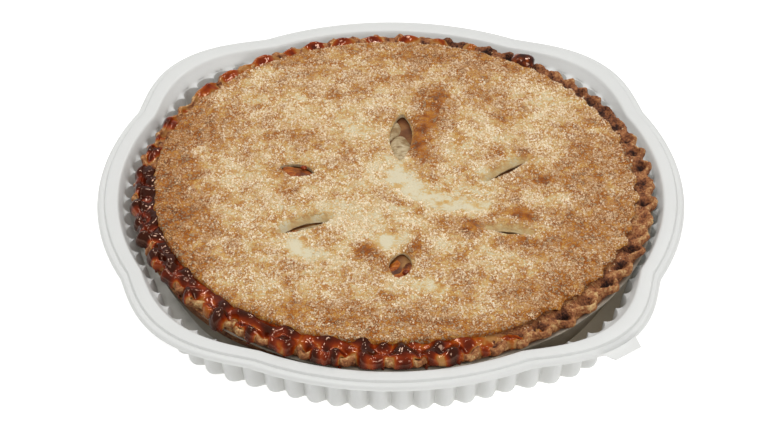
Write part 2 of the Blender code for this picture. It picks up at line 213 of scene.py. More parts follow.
bpy.ops.mesh.primitive_plane_add(size=14.0, location=(0.0, 0.0, -0.3 * MM))
floor = bpy.context.object
floor.name = "floor"
floor_paint = Finish("pale_floor", Roughness=0.9)
floor_shade = floor_paint.speckle(0.4, 3.0)
floor_tone = floor_paint.mix(floor_shade, rgb(0.48, 0.48, 0.475), rgb(0.50, 0.50, 0.495))
floor_paint.feeds(Base_Color=floor_tone, Emission_Color=floor_tone)
floor_paint.shader.inputs["Emission Strength"].default_value = FLOOR_GLOW
floor.data.materials.append(floor_paint.material)
print("light panels:", len(PANELS))

# %% [markdown]
# Almost every piece of a pie is round, so most of them start the same way: a circle of points, from
# which ring after ring is extruded and scaled, as one would by hand. Nothing baked is quite even,
# though. So once the rings are there, a rule moves the points of each ring to where they belong.
# Noise makes them uneven, and numbers stored on the points tell a finish where something lies.

# %% Hands: rings of points
def put_down():
    """Leave edit mode, with nothing selected."""
    if bpy.context.object is not None and bpy.context.object.mode != "OBJECT":
        bpy.ops.object.mode_set(mode="OBJECT")
    bpy.ops.object.select_all(action="DESELECT")


def pick_up(piece):
    put_down()
    piece.select_set(True)
    bpy.context.view_layer.objects.active = piece


def name_new(name):
    """Name the new primitive, and put its place into its mesh."""
    piece = bpy.context.object
    piece.name = name
    piece.data.name = name
    bpy.ops.object.transform_apply(location=True, rotation=True, scale=True)
    return piece


def pull_rings(name, points, middle, sections):
    """A circle at the first (radius, height), and one more ring extruded for each of the others."""
    put_down()
    radius, height = sections[0]
    bpy.ops.mesh.primitive_circle_add(vertices=points, radius=radius, location=(*middle, height))
    piece = name_new(name)
    bpy.ops.object.mode_set(mode="EDIT")
    bpy.ops.mesh.select_all(action="SELECT")
    for next_radius, next_height in sections[1:]:
        step = (0.0, 0.0, next_height - height)
        bpy.ops.mesh.extrude_edges_move(TRANSFORM_OT_translate={"value": step})
        share = next_radius / radius
        bpy.ops.transform.resize(value=(share, share, 1.0), center_override=(*middle, next_height))
        radius, height = next_radius, next_height
    put_down()
    return piece


def in_mm(rows):
    """Rows of radius and height, given in mm."""
    return [(radius * MM, height * MM) for radius, height in rows]


def select_points(piece, chosen):
    """Select just these points, and the edges and faces that lie between them."""
    pick_up(piece)
    bpy.ops.object.mode_set(mode="EDIT")
    bpy.ops.mesh.select_mode(type="VERT")
    bpy.ops.mesh.select_all(action="DESELECT")
    bpy.ops.object.mode_set(mode="OBJECT")
    piece.data.vertices.foreach_set("select", np.asarray(chosen, dtype=bool))
    bpy.ops.object.mode_set(mode="EDIT")


def close_holes(piece):
    pick_up(piece)
    bpy.ops.object.mode_set(mode="EDIT")
    bpy.ops.mesh.select_all(action="SELECT")
    bpy.ops.mesh.fill_holes(sides=0)
    bpy.ops.mesh.select_all(action="SELECT")
    bpy.ops.mesh.normals_make_consistent(inside=False)
    put_down()


# %% Hands: reading, moving and painting points
def points_of(piece):
    """The piece's points, as an array with a row of x, y, z for each."""
    flat = np.empty(3 * len(piece.data.vertices))
    piece.data.vertices.foreach_get("co", flat)
    return flat.reshape(-1, 3)


def move_points(piece, places):
    piece.data.vertices.foreach_set("co", np.asarray(places).reshape(-1))
    piece.data.update()


def ring_places(angle, radius, height, middle):
    x = middle[0] + radius * np.cos(angle)
    y = middle[1] + radius * np.sin(angle)
    return np.stack(np.broadcast_arrays(x, y, height), axis=-1).reshape(-1, 3)


def ring_angles(piece, points, middle):
    """The plan angle of each point, as rows of rings."""
    places = points_of(piece)
    angles = np.arctan2(places[:, 1] - middle[1], places[:, 0] - middle[0])
    return angles.reshape(-1, points)


def uneven(x, y, z):
    """Smooth noise from about -1 to 1 at each of the given points."""
    x, y, z = np.broadcast_arrays(x, y, z)
    spots = zip(x.ravel().tolist(), y.ravel().tolist(), z.ravel().tolist())
    return np.array([noise.noise(spot) for spot in spots]).reshape(x.shape)


def plan_noise(x, y, size, layer):
    """Uneven places about size mm across, seen from above; each layer is another pattern."""
    return uneven(x / (size * MM), y / (size * MM), layer)


def ring_noise(angle, closeness, layer):
    """Uneven places along a ring; a greater closeness sets them nearer to each other."""
    return uneven(closeness * np.cos(angle), closeness * np.sin(angle), layer)


def climb(value, low, high):
    """0 up to low, 1 from high, and a smooth climb between them."""
    share = np.clip((value - low) / (high - low), 0, 1)
    return share * share * (3 - 2 * share)


def paint(piece, name, values):
    """Store one number at each point of the mesh, for its finish to read."""
    layer = piece.data.attributes.new(name, "FLOAT", "POINT")
    layer.data.foreach_set("value", np.asarray(values, dtype=np.float32).ravel())


# %% Hands: walls, joins and the last touch
def finish_piece(piece, finish, smooth_angle, slot, *nodes):
    """Smooth shading, a finish, and the piece's place in the frame."""
    pick_up(piece)
    bpy.ops.object.shade_smooth_by_angle(angle=math.radians(smooth_angle))
    if finish is not None:
        piece.data.materials.clear()
        piece.data.materials.append(finish.material)
    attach(piece, "root")
    if nodes:
        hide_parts(*nodes)
    put_down()
    triangles = sum(len(face.vertices) - 2 for face in piece.data.polygons)
    print(piece.name, triangles, "triangles")


def apply_all(piece):
    """Apply the piece's modifiers in order."""
    pick_up(piece)
    for modifier in list(piece.modifiers):
        bpy.ops.object.modifier_apply(modifier=modifier.name)
    put_down()


def add_wall(piece, thickness, offset=-1.0):
    """A Solidify modifier, which gives an open sheet its thickness."""
    wall = piece.modifiers.new("wall", "SOLIDIFY")
    wall.thickness = thickness
    wall.offset = offset
    return wall


def combine(piece, other, operation, finishes="INDEX"):
    """Join another closed piece to this one, or cut it away, and remove the other."""
    step = piece.modifiers.new("combine", "BOOLEAN")
    step.operation = operation
    step.object = other
    step.solver = "MANIFOLD"
    step.material_mode = finishes
    apply_all(piece)
    bpy.data.objects.remove(other)


# %% [markdown]
# The tray is a sheet of white plastic, drawn over a mould while warm: round, with a lobe at each
# corner, a rolled lip, a flat band, a ledge and a wall of narrow flutes that stiffens it. One sheet
# is pulled ring by ring from the hem to the foot. Each ring has twelve points for each flute, so
# that the scallops are round and the ribs between them stay sharp.

# %% Tray: the outline of its rings
LOBE_REACH = 13.6 * MM
LOBE_HALF = math.radians(18.4)
LOBE_FULLNESS = 1.25
# The thin sheet is a little warped: reach of the far right, far left, near left and near right lobe
LOBE_SHARES = np.array((0.80, 0.96, 0.72, 1.06))
FLUTES = 76
FLUTE_DEPTH = 2.0 * MM
FLUTE_SHARPNESS = 0.6
# Drop below the rim in mm down to which the flutes stay sharp, and from which they are soft
SHARP_TO, SOFT_FROM = 7.0, 14.0
TRAY_POINTS = 12 * FLUTES
TRAY_WALL = 0.9 * MM
TRAY_MIDDLE = (0.0, 0.0)
# The tray's sections from the hem to the foot, in mm: radius, drop below the rim, share of the lobe,
# share of the flutes
TRAY_SECTIONS = (
    (171.0, 3.80, 1.00, 0.0), (170.9, 3.30, 1.00, 0.0), (170.7, 2.70, 1.00, 0.0),
    (170.4, 2.15, 1.00, 0.0), (170.0, 1.75, 1.00, 0.0), (169.5, 1.45, 1.00, 0.0),
    (168.8, 1.30, 1.00, 0.0), (168.0, 1.32, 1.00, 0.0), (167.4, 1.45, 1.00, 0.0),
    (166.9, 1.45, 1.00, 0.0), (166.6, 1.15, 1.00, 0.0), (166.4, 0.55, 1.00, 0.0),
    (166.0, 0.12, 1.00, 0.0), (165.2, 0.00, 0.99, 0.0), (162.6, 0.00, 0.95, 0.0),
    (160.1, 0.00, 0.91, 0.0), (159.2, 0.12, 0.90, 0.0), (158.6, 0.60, 0.88, 0.0),
    (158.0, 1.80, 0.86, 0.0), (157.4, 3.10, 0.81, 0.0), (156.8, 4.40, 0.76, 0.0),
    (156.2, 5.60, 0.72, 0.0), (155.5, 6.50, 0.70, 0.15), (154.6, 6.95, 0.67, 0.85),
    (154.0, 7.20, 0.66, 1.0), (153.8, 8.00, 0.66, 1.0), (153.0, 12.5, 0.68, 1.0),
    (151.5, 20.0, 0.70, 1.0), (149.8, 28.5, 0.72, 1.0), (148.4, 34.6, 0.74, 1.0),
    (147.6, 36.4, 0.74, 1.0), (146.0, 37.0, 0.74, 0.8), (141.0, 37.0, 0.60, 0.3),
    (130.0, 37.0, 0.20, 0.0), (100.0, 37.0, 0.0, 0.0), (50.0, 37.0, 0.0, 0.0),
)


def lobe(angle):
    """Reach of a corner lobe, greatest at its middle, and 0 along the round sides."""
    quarter = TURN / 4
    share = LOBE_SHARES[(np.mod(angle, TURN) // quarter).astype(int) % 4]
    off = np.abs(np.mod(angle, quarter) - quarter / 2) / LOBE_HALF
    return share * np.cos(np.minimum(off, 1.0) * quarter) ** LOBE_FULLNESS


def flute(angle, drop):
    """-1 on a rib that points inwards, 1 in a scallop; sharp at the ledge and soft further down."""
    sharp = 2 * np.abs(np.sin(angle * FLUTES / 2)) ** FLUTE_SHARPNESS - 1
    soft = -np.cos(angle * FLUTES) - 0.15 * np.cos(2 * angle * FLUTES)
    share = np.clip((drop - SHARP_TO) / (SOFT_FROM - SHARP_TO), 0.0, 1.0)
    return sharp + (soft - sharp) * share


def shape_tray(tray):
    angle = ring_angles(tray, TRAY_POINTS, TRAY_MIDDLE)
    radius, drop, lobed, fluted = np.array(TRAY_SECTIONS).T[:, :, None]
    spread = radius * MM + lobed * LOBE_REACH * lobe(angle) + fluted * FLUTE_DEPTH * flute(angle, drop)
    height = RIM_TOP - drop * MM + 0 * angle
    move_points(tray, ring_places(angle, spread, height, TRAY_MIDDLE))


tray = pull_rings("tray_sheet", TRAY_POINTS, TRAY_MIDDLE,
                  [(row[0] * MM, RIM_TOP - row[1] * MM) for row in TRAY_SECTIONS])
shape_tray(tray)
print("tray rings:", len(TRAY_SECTIONS))

# %% [markdown]
# The last ring of the floor is closed with one face, and Solidify gives the sheet its thickness
# below. A thumb tab stands out from under the lip at one corner, so that the lid can be lifted. It
# is a box, narrowed and bevelled, and a Boolean makes it one piece with the sheet.

# %% Tray: floor, thickness and tab
# The tab's middle line passes the tray's axis at a distance
TAB_ANGLE = math.radians(-53.0)
TAB_ASIDE = 19.5 * MM
TAB_ROOT = 179.8 * MM
TAB_TIP = 190.8 * MM
TAB_ROOT_WIDTH = 26.5 * MM
TAB_TIP_WIDTH = 18.0 * MM
TAB_THICK = 0.9 * MM
TAB_DROP = 2.8 * MM
TAB_ROUNDING = 0.25 * MM


def close_floor(tray):
    """One face over the innermost ring, and all faces turned to look up and in."""
    count = len(tray.data.vertices)
    select_points(tray, np.arange(count) >= count - TRAY_POINTS)
    bpy.ops.mesh.edge_face_add()
    bpy.ops.mesh.select_all(action="SELECT")
    bpy.ops.mesh.normals_make_consistent(inside=True)
    put_down()


def face_up(piece):
    """Turn an open sheet over if its largest face looks down."""
    largest = max(piece.data.polygons, key=lambda face: face.area)
    if largest.normal.z < 0:
        piece.data.flip_normals()


def add_tab():
    put_down()
    bpy.ops.mesh.primitive_cube_add(size=1.0)
    tab = name_new("tray_tab")
    places = points_of(tab)
    outer = places[:, 0] > 0
    width = np.where(outer, TAB_TIP_WIDTH, TAB_ROOT_WIDTH)
    places[:, 0] = np.where(outer, TAB_TIP, TAB_ROOT)
    places[:, 1] = TAB_ASIDE + places[:, 1] * width
    places[:, 2] = RIM_TOP - TAB_DROP + (places[:, 2] - 0.5) * TAB_THICK
    move_points(tab, places)
    tab.rotation_euler.z = TAB_ANGLE
    bpy.ops.object.transform_apply(location=False, rotation=True, scale=False)
    rounding = tab.modifiers.new("rounding", "BEVEL")
    rounding.width = TAB_ROUNDING
    rounding.segments = 2
    apply_all(tab)
    return tab


close_floor(tray)
face_up(tray)
tray_inside_painted_shade = Finish("tray_inside_painted_shade", Subsurface_Weight=0.25, Subsurface_Scale=0.006,
                     Specular_IOR_Level=0.30)
tray_plastic = Finish("white_tray_plastic", Subsurface_Weight=0.35, Subsurface_Scale=0.006,
                      Specular_IOR_Level=0.35)
tray.data.materials.append(tray_inside_painted_shade.material)
tray.data.materials.append(tray_plastic.material)
tab = add_tab()
tab.data.materials.append(tray_plastic.material)
print("tab middle in mm:", (points_of(tab).mean(axis=0) / MM).round(1))
add_wall(tray, TRAY_WALL).material_offset = 1
combine(tray, tab, "UNION")
print("tray points:", len(tray.data.vertices))

# %% [markdown]
# White tray plastic is satin rather than glossy, and thin enough to let a little light through. The
# forming leaves slow waves and a very fine grain, which are noise on the Object coordinates. Inside,
# where the sheet lies deep, its colour is darkened with painted shade and a painted brown reflection
# of the pie, most at the near right and in the scallops under the ledge. Outside, its grooves are
# painted a little grey as shade. Noise couldn't follow the flutes, so two numbers on the points say
# where.

# %% Tray: finish
def finish_tray(plastic, shaded, shade):
    """White sheet with slow waves and fine grain, darkened by the share of painted shade."""
    plastic.shader.inputs["Subsurface Radius"].default_value = (1.0, 1.0, 0.95)
    tone = plastic.speckle(0.045, 3.0)
    white = plastic.mix(tone, rgb(0.665, 0.670, 0.650), rgb(0.700, 0.703, 0.685))
    plastic.feeds(Base_Color=plastic.mix(shaded, white, shade))
    plastic.feeds(Roughness=0.30 + 0.12 * plastic.speckle(0.012, 3.0))
    waves = plastic.bump(plastic.speckle(0.018, 1.0), 0.35 * MM)
    plastic.feeds(Normal=plastic.bump(plastic.speckle(0.0009, 2.0), 0.02 * MM, waves))


# Heights between which the ledge lies, and over which the painted brown shade fades inside
LEDGE_HEIGHTS = (29.0 * MM, 31.0 * MM)
SHADE_HEIGHTS = (12.0 * MM, 31.5 * MM)


def shade_tray(tray):
    """Painted shade: depth, brown inside and most at the near right, and the grey of the grooves
    outside.
    """
    x, y, z = points_of(tray).T
    angle = np.arctan2(y, x)
    below = 1 - climb(z, *LEDGE_HEIGHTS)
    rib = 0.5 + 0.5 * np.cos(FLUTES * angle)
    near_right = 1 - climb(np.abs(np.degrees(angle) + 50), 25, 60)
    depth = 1 - climb(z, *SHADE_HEIGHTS)
    # painted shade: brown shade and a brown reflection of the pie deep inside, and shade in the
    # scallops
    paint(tray, "depth", (0.28 + 0.56 * near_right) * depth + 0.16 * below * (1 - rib) * (1 - depth))
    # painted shade: the grooves under the ledge outside are a little grey
    paint(tray, "groove", below * rib)


# the grey grooves outside and the brown deep inside are painted shade, the brown also a reflection
finish_tray(tray_plastic, 0.30 * tray_plastic.painted("groove"), rgb(0.50, 0.49, 0.44))
finish_tray(tray_inside_painted_shade, tray_inside_painted_shade.painted("depth"), rgb(0.42, 0.31, 0.20))
shade_tray(tray)
finish_piece(tray, None, 38.0, "tray_plastic", "tray")

# %% [markdown]
# The tin is thin aluminium, pressed into a cone with a narrow curled rim. Only its outer wall and
# the rim show, between the crust and the tray. Pressing leaves shallow creases that run down the
# wall, so the rings wander in and out by a few tenths of a millimetre.

# %% Tin: shape
PIE = (1.0 * MM, -3.4 * MM)
TIN_POINTS = 360
TIN_FOIL = 0.5 * MM
# Radius and height in mm, from the curled rim down the wall to the floor
TIN_SECTIONS = (
    (150.6, 33.3), (151.1, 33.5), (151.4, 34.0), (151.2, 34.5), (150.6, 34.7), (149.9, 34.6),
    (149.2, 34.3), (148.9, 33.6), (147.9, 31.0), (146.0, 26.5), (144.0, 22.0), (141.9, 17.5),
    (139.7, 13.0), (137.4, 8.5), (135.4, 4.5), (134.4, 2.7), (133.6, 2.0), (132.0, 1.8),
    (110.0, 1.8), (60.0, 1.8), (10.0, 1.8),
)
TIN_CREASES = 64
CREASE_DEPTH = 0.35 * MM


def left_pull(angle):
    """The rim's left side lies up to 3 mm further in than the right one."""
    degrees = np.mod(np.degrees(angle), 360.0)
    return 3.0 * MM * climb(degrees, 110, 160) * (1 - climb(degrees, 215, 262))


def shape_tin(tin):
    angle = ring_angles(tin, TIN_POINTS, PIE)
    radius, height = np.array(TIN_SECTIONS).T[:, :, None] * MM
    crease = ring_noise(angle, TIN_CREASES / TURN, height / (18 * MM))
    wall = ((height > 2.5 * MM) & (height < 34.2 * MM)).astype(float)
    spread = radius + wall * CREASE_DEPTH * crease - left_pull(angle) * climb(height, 15 * MM, 32 * MM)
    move_points(tin, ring_places(angle, spread, height + 0 * angle, PIE))


tin = pull_rings("foil_tin", TIN_POINTS, PIE, in_mm(TIN_SECTIONS))
shape_tin(tin)
add_wall(tin, TIN_FOIL, 0.0)
print("tin points:", len(tin.data.vertices))

# %% [markdown]
# Foil is bright metal with a soft sheen. This one has been through the oven and stands in the shade
# of the crust, whose brown it mirrors, so its colour is a dark grey brown of painted shade and painted
# reflection, and it is metal by half only. Fine creases run down the wall as bump.

# %% Tin: finish
foil = Finish("tin_foil", Metallic=0.55)
# painted shade and a painted reflection of the crust: the foil's dark grey brown, mottled by noise
shaded_tone = foil.speckle(0.022, 4.0)
foil.feeds(Base_Color=foil.mix(shaded_tone, rgb(0.26, 0.21, 0.15), rgb(0.52, 0.47, 0.39)))
foil.feeds(Roughness=0.38 + 0.22 * foil.speckle(0.006, 3.0))
foil.feeds(Normal=foil.bump(foil.speckle(0.004, 3.0, (1.0, 1.0, 0.3)), 0.25 * MM))
apply_all(tin)
close_holes(tin)
finish_piece(tin, foil, 40.0, "tin_foil", "tin")

# %% [markdown]
# The bottom crust lines the tin and ends in a standing rim, which fingers have crimped. Each crimp
# pushes a tan arch outwards and leaves a hollow inside it, darker partly from baking and partly by
# painted shade. No two steps are alike: at the near right the crimps are wide and deep, along the far
# side close and shallow.
# One rule gives the rim's surface at any place across it, and the syrup uses it again later.

# %% Rim crust: the rule for its surface
RIM_POINTS = 1800
# Plan angles in degrees of the wide crimps at the near right, and the usual step of the others
NEAR_RIGHT_CRIMPS = (-74.0, -68.0, -62.0, -56.5, -50.0, -43.0, -35.0, -28.0, -21.5, -16.0, -10.5,
                     -4.4, 2.0, 8.5, 14.0, 19.0)
CRIMP_STEP = 4.9
# Across the rim, from the seat of the top crust to the underside: place from 0 to 1, radius and
# height in mm, and how far a push moves them
RIM_PROFILE = np.array((
    (0.00, 137.4, 40.7, 0.0, 0.0), (0.12, 140.8, 40.7, 0.0, 0.0), (0.22, 143.0, 40.5, 0.2, -0.5),
    (0.36, 145.8, 39.9, 0.8, -2.3), (0.50, 147.9, 40.4, 1.5, -1.3), (0.62, 149.4, 41.5, 2.0, 0.3),
    (0.72, 150.7, 41.6, 2.2, 0.5), (0.82, 151.6, 40.6, 2.1, 0.2), (0.90, 152.0, 39.0, 1.9, 0.0),
    (0.97, 151.7, 37.5, 1.5, 0.0), (1.04, 150.5, 36.4, 0.9, 0.0),
)).T


def glide(across, values):
    """Values at the profile's places, carried smoothly to any place across."""
    places = RIM_PROFILE[0]
    part = np.clip(np.searchsorted(places, across, side="right") - 1, 0, len(places) - 2)
    step = (across - places[part]) / (places[part + 1] - places[part])
    before = values[np.maximum(part - 1, 0)]
    start = values[part]
    end = values[part + 1]
    after = values[np.minimum(part + 2, len(places) - 1)]
    bend = 2 * start + (end - before) * step
    bend += (2 * before - 5 * start + 4 * end - after) * step ** 2
    return 0.5 * (bend + (3 * start - before - 3 * end + after) * step ** 3)


# %% Rim crust: its crimps
def crust_wander(angle):
    """The rolled crust is never quite round."""
    return 1.0 * MM * ring_noise(angle, 1.7, 0.4)


def crimp_angles():
    """The plan angle of every crimp in degrees, all the way round and back to the first."""
    draw = np.random.default_rng(5)
    first, last = NEAR_RIGHT_CRIMPS[0], NEAR_RIGHT_CRIMPS[-1]
    count = round((first + 360.0 - last) / CRIMP_STEP)
    steps = draw.uniform(0.78, 1.22, count)
    others = last + (first + 360.0 - last) * np.cumsum(steps) / steps.sum()
    return np.concatenate((NEAR_RIGHT_CRIMPS, others))


def crimp_depths(angles):
    """How deep each crimp is: most at the near right, least along the far side."""
    draw = np.random.default_rng(6)
    near_right = 1 - climb(angles, -25, 5)
    far_side = climb(angles, 0, 30) * (1 - climb(angles, 165, 190))
    depths = (1.0 + 0.35 * near_right - 0.30 * far_side) * draw.uniform(0.45, 1.4, len(angles))
    depths[-1] = depths[0]
    return depths


CRIMPS = crimp_angles()
CRIMP_DEPTHS = crimp_depths(CRIMPS)
print("crimps:", len(CRIMPS) - 1)


def push(angle):
    """1 where a finger pushed the rim out, -1 where it is pinched in, and never twice alike."""
    degrees = np.mod(np.degrees(angle) - CRIMPS[0], 360.0) + CRIMPS[0]
    count = np.interp(degrees, CRIMPS, np.arange(len(CRIMPS)))
    return np.interp(degrees, CRIMPS, CRIMP_DEPTHS) * np.cos(TURN * count)


def rim_surface(across, angle, swing=1.0):
    """Radius and height of the rim's surface, before its crumbs."""
    pushed = push(angle) * swing
    deep = np.where(pushed > 0, pushed, 0.45 * pushed)
    radius = glide(across, RIM_PROFILE[1]) + glide(across, RIM_PROFILE[3]) * pushed
    height = glide(across, RIM_PROFILE[2]) + glide(across, RIM_PROFILE[4]) * deep
    edge = np.clip(across / 0.3, 0.0, 1.0)
    inwards = left_pull(angle) * climb(across, 0.2, 0.7)
    return radius * MM + crust_wander(angle) * edge - inwards, height * MM


# %% Rim crust: mesh
RIM_ROWS = 36
RIM_ACROSS = np.linspace(0.0, 1.04, RIM_ROWS)
# Hidden rings that close the crust inside the tin, radius and height in mm
POCKET = ((126.0, 6.3), (131.5, 8.5), (135.4, 34.0))
LINING = ((149.2, 35.4), (148.9, 33.4), (134.2, 3.6), (131.9, 2.2))
# The rings between them are the rim's own
RIM_SHOWN = slice(len(POCKET), len(POCKET) + RIM_ROWS)


def shape_rim(rim):
    turn = ring_angles(rim, RIM_POINTS, PIE)[RIM_SHOWN]
    across = RIM_ACROSS[:, None]
    radius, height = rim_surface(across, turn)
    x, y = radius * np.cos(turn), radius * np.sin(turn)
    crag = plan_noise(x, y, 5, height / (5 * MM))
    crumb = plan_noise(x, y, 2.1, height / (2.1 * MM))
    crack = np.exp(-(plan_noise(x, y, 6, height / (6 * MM) + 5) / 0.10) ** 2)
    show = np.clip(across * 6, 0, 1)
    height = height + show * MM * (0.80 * crag + 0.50 * crumb - 0.50 * crack)
    bulge = plan_noise(y, x, 4, height / (4 * MM))
    radius = radius + show * MM * (0.85 * bulge + 0.40 * crumb - 0.40 * crack)
    places = points_of(rim).reshape(-1, RIM_POINTS, 3)
    places[RIM_SHOWN] = ring_places(turn, radius, height, PIE).reshape(-1, RIM_POINTS, 3)
    move_points(rim, places)


rim_start = in_mm(zip(glide(RIM_ACROSS, RIM_PROFILE[1]), glide(RIM_ACROSS, RIM_PROFILE[2])))
rim_crust = pull_rings("rim_crust", RIM_POINTS, PIE, in_mm(POCKET) + rim_start + in_mm(LINING))
shape_rim(rim_crust)
print("rim points:", len(rim_crust.data.vertices))

# %% [markdown]
# The rim bakes unevenly: its arches are tan, its hollows darker, partly by baking and partly by
# painted shade, and at the far right all of it is dark. Each point of the mesh carries how scorched
# and shaded it is, worked out from the rim's own rule. The finish adds smaller blotches and crumbs to
# that number, and turns it into colour with a ramp.

# %% Rim crust: finish
def scorch_rim(rim):
    angle = ring_angles(rim, RIM_POINTS, PIE)
    turn = angle[RIM_SHOWN]
    across = RIM_ACROSS[:, None]
    # the hollows are darkened partly as baked browner and partly as painted shade
    hollow_shade_and_bake = np.exp(-((across - 0.38) / 0.12) ** 2) * np.clip(0.20 + 0.70 * push(turn), 0.0, 1.2)
    crest = np.exp(-((across - 0.74) / 0.16) ** 2)
    slow = ring_noise(turn, 6, 3.3)
    quick = ring_noise(turn, 30, 6 * across)
    degrees = np.degrees(turn)
    far_right = climb(degrees, 12, 35) * (1 - climb(degrees, 75, 95))
    hollow_shade_and_bake = hollow_shade_and_bake * (0.40 + 0.35 * quick)
    scorch = np.full(angle.shape, 0.5)
    scorch[RIM_SHOWN] = 0.49 + hollow_shade_and_bake - 0.16 * crest + 0.20 * slow + 0.22 * far_right
    paint(rim, "scorch", scorch)


scorch_rim(rim_crust)
rim_finish = Finish("baked_rim_crust", Specular_IOR_Level=0.18)
blotch = rim_finish.speckle(0.0045, 3.0)
crumbs = rim_finish.speckle(0.0013, 2.0)
# the painted number holds baked brown and the painted shade of the hollows
scorch = rim_finish.painted("scorch") + 0.34 * (blotch.between(0.34, 0.66) - 0.5)
scorch = scorch + 0.26 * (crumbs.between(0.36, 0.64) - 0.5)
rim_finish.feeds(Base_Color=rim_finish.ramp(scorch, (
    (0.06, (0.68, 0.46, 0.21)), (0.28, (0.46, 0.215, 0.085)), (0.48, (0.33, 0.122, 0.046)),
    (0.70, (0.165, 0.058, 0.026)), (0.88, (0.070, 0.024, 0.013)), (1.00, (0.025, 0.010, 0.007)))))
rim_finish.feeds(Roughness=0.55 + 0.25 * blotch)
coarse = rim_finish.bump(blotch, 1.2 * MM)
rim_finish.feeds(Normal=rim_finish.bump(crumbs, 0.8 * MM, coarse))
close_holes(rim_crust)
finish_piece(rim_crust, rim_finish, 60.0, "rim_crust", "bottom_crust")

# %% [markdown]
# The top crust is one rolled sheet laid over heaped apples, so it has a dome with slow lumps, a
# pale valley, folds, and six slits whose lips curl. Its height above any place is one function: the
# dome and its swells, then lumps, dimples and folds, the lips of the slits, and last the rounded edge.

# %% Top crust: sizes, folds and slits
LID_RADIUS = 141.4 * MM
LID_THICK = 3.8 * MM
SEAT = 40.8 * MM
GAP = 0.3 * MM
LID_EDGE = SEAT + GAP + LID_THICK
LID_CROWN = 48.4 * MM
LID_FALL = 3.4
EDGE_ROUND = 2.4 * MM
# Sunken and raised places in mm, from the pie's middle: x, y, rise, reach
SWELLS = (
    (18, -10, -2.0, 24), (44, -28, -1.6, 20), (24, 50, 1.8, 24), (-50, -68, -1.4, 22),
    (20, -98, -1.2, 20), (40, -55, 1.4, 20), (-60, -20, 1.5, 24), (66, 26, 1.3, 22),
)
# Small dents and knobs on top of those
DIMPLES = (
    (-51, -65, -1.0, 4), (2, -62, -1.8, 6), (44, -45, 1.1, 8), (-17, -67, 1.0, 9),
    (75, -33, 1.2, 6), (28, 72, 0.8, 12), (-31, 14, 0.7, 11), (-28, 53, -0.8, 12),
    (16, 38, 0.8, 7), (5, 18, -0.7, 7), (33, -19, -0.8, 9),
)
# Folds of the dough, as points in mm along each
FOLDS = (
    ((-72, -68), (-63, -67), (-52, -74), (-44, -73), (-32, -71), (-20, -67)),
    ((-38, -20), (-27, -15), (-13, -13), (1, -15), (15, -18), (31, -29)),
    ((40, -84), (52, -74), (70, -66), (92, -62)),
)
# Slits: x and y in mm, direction in degrees, length and width in mm, sink in mm of the far lip and
# of the near one; a far lip that sinks more than LIP_CURLS is curled
SLITS = (
    (5.0, 41.5, 88.0, 43.0, 13.5, 1.2, 1.2),
    (-55.5, 10.0, -22.0, 21.0, 13.0, 0.9, 0.2),
    (-49.4, -41.6, 22.0, 29.0, 7.5, 2.8, -0.5),
    (4.4, -75.5, 84.0, 22.0, 13.0, 1.0, 0.9),
    (65.2, -46.2, -8.0, 27.0, 5.6, 2.8, -0.7),
    (66.8, 8.4, 37.0, 29.0, 5.8, 2.8, -0.6),
)
LIP_CURLS = 1.3
print("slits:", len(SLITS), "folds:", len(FOLDS), "dimples:", len(DIMPLES))


# %% Top crust: the rule for its height
def slit_distance(x, y, slit):
    """Distance from a slit's outline, and which side: 1 on the far side, 0 on the near one."""
    middle_x, middle_y, direction, length, width = np.array(slit[:5]) * (MM, MM, 1, MM, MM)
    turn = math.radians(direction)
    along = (x - middle_x) * math.cos(turn) + (y - middle_y) * math.sin(turn)
    across = (y - middle_y) * math.cos(turn) - (x - middle_x) * math.sin(turn)
    share = np.clip(np.abs(along) / (length / 2), 0, 1)
    half = width / 2 * np.sqrt(1 - share ** 2) * (1 - 0.3 * share ** 2)
    past = np.maximum(np.abs(along) - length / 2, 0)
    away = np.hypot(past, np.maximum(np.abs(across) - half, 0))
    far = 1 / (1 + np.exp(-across / (0.8 * MM)))
    return away, far


def fold_distance(x, y, fold):
    """Distance from a fold's line, with 1 on its near side and 0 on its far side."""
    nearest = np.full(np.shape(x), 1.0)
    near = np.zeros(np.shape(x))
    for start, end in zip(fold, fold[1:]):
        start = np.array(start) * MM
        run = np.array(end) * MM - start
        step = np.clip(((x - start[0]) * run[0] + (y - start[1]) * run[1]) / (run @ run), 0, 1)
        away = np.hypot(x - start[0] - step * run[0], y - start[1] - step * run[1])
        side = run[0] * (y - start[1]) - run[1] * (x - start[0])
        near = np.where(away < nearest, (side < 0).astype(float), near)
        nearest = np.minimum(away, nearest)
    return nearest, near


def lid_radius(angle):
    """The edge follows the crimps at the right, and draws back from the syrup at the left."""
    degrees = np.mod(np.degrees(angle), 360.0)
    right = 1 - climb(degrees, 50, 75) * (1 - climb(degrees, 292, 306))
    sticky = climb(degrees, 160, 180) * (1 - climb(degrees, 284, 297))
    slow = ring_noise(angle, 7, 9.0)
    quick = ring_noise(angle, 24, 9.0)
    wander = 1.1 * slow + 0.9 * quick + 1.5 * right * push(angle) - 2.6 * sticky
    return LID_RADIUS + MM * wander


def with_rises(height, x, y, rows):
    """A height with round rises or dents added, one for each row."""
    for middle_x, middle_y, rise, reach in rows:
        away = (x - middle_x * MM) ** 2 + (y - middle_y * MM) ** 2
        height = height + rise * MM * np.exp(-away / (reach * MM) ** 2)
    return height


def lid_dome(x, y):
    """The slow form of the top crust, as the plain solid has it."""
    reach = np.minimum(np.hypot(x, y) / LID_RADIUS, 1.0)
    fall = reach ** LID_FALL
    lumps = with_rises(1.3 * MM * plan_noise(x, y, 42, 3.1), x, y, SWELLS)
    return LID_CROWN - (LID_CROWN - LID_EDGE) * fall + lumps * (1 - fall)


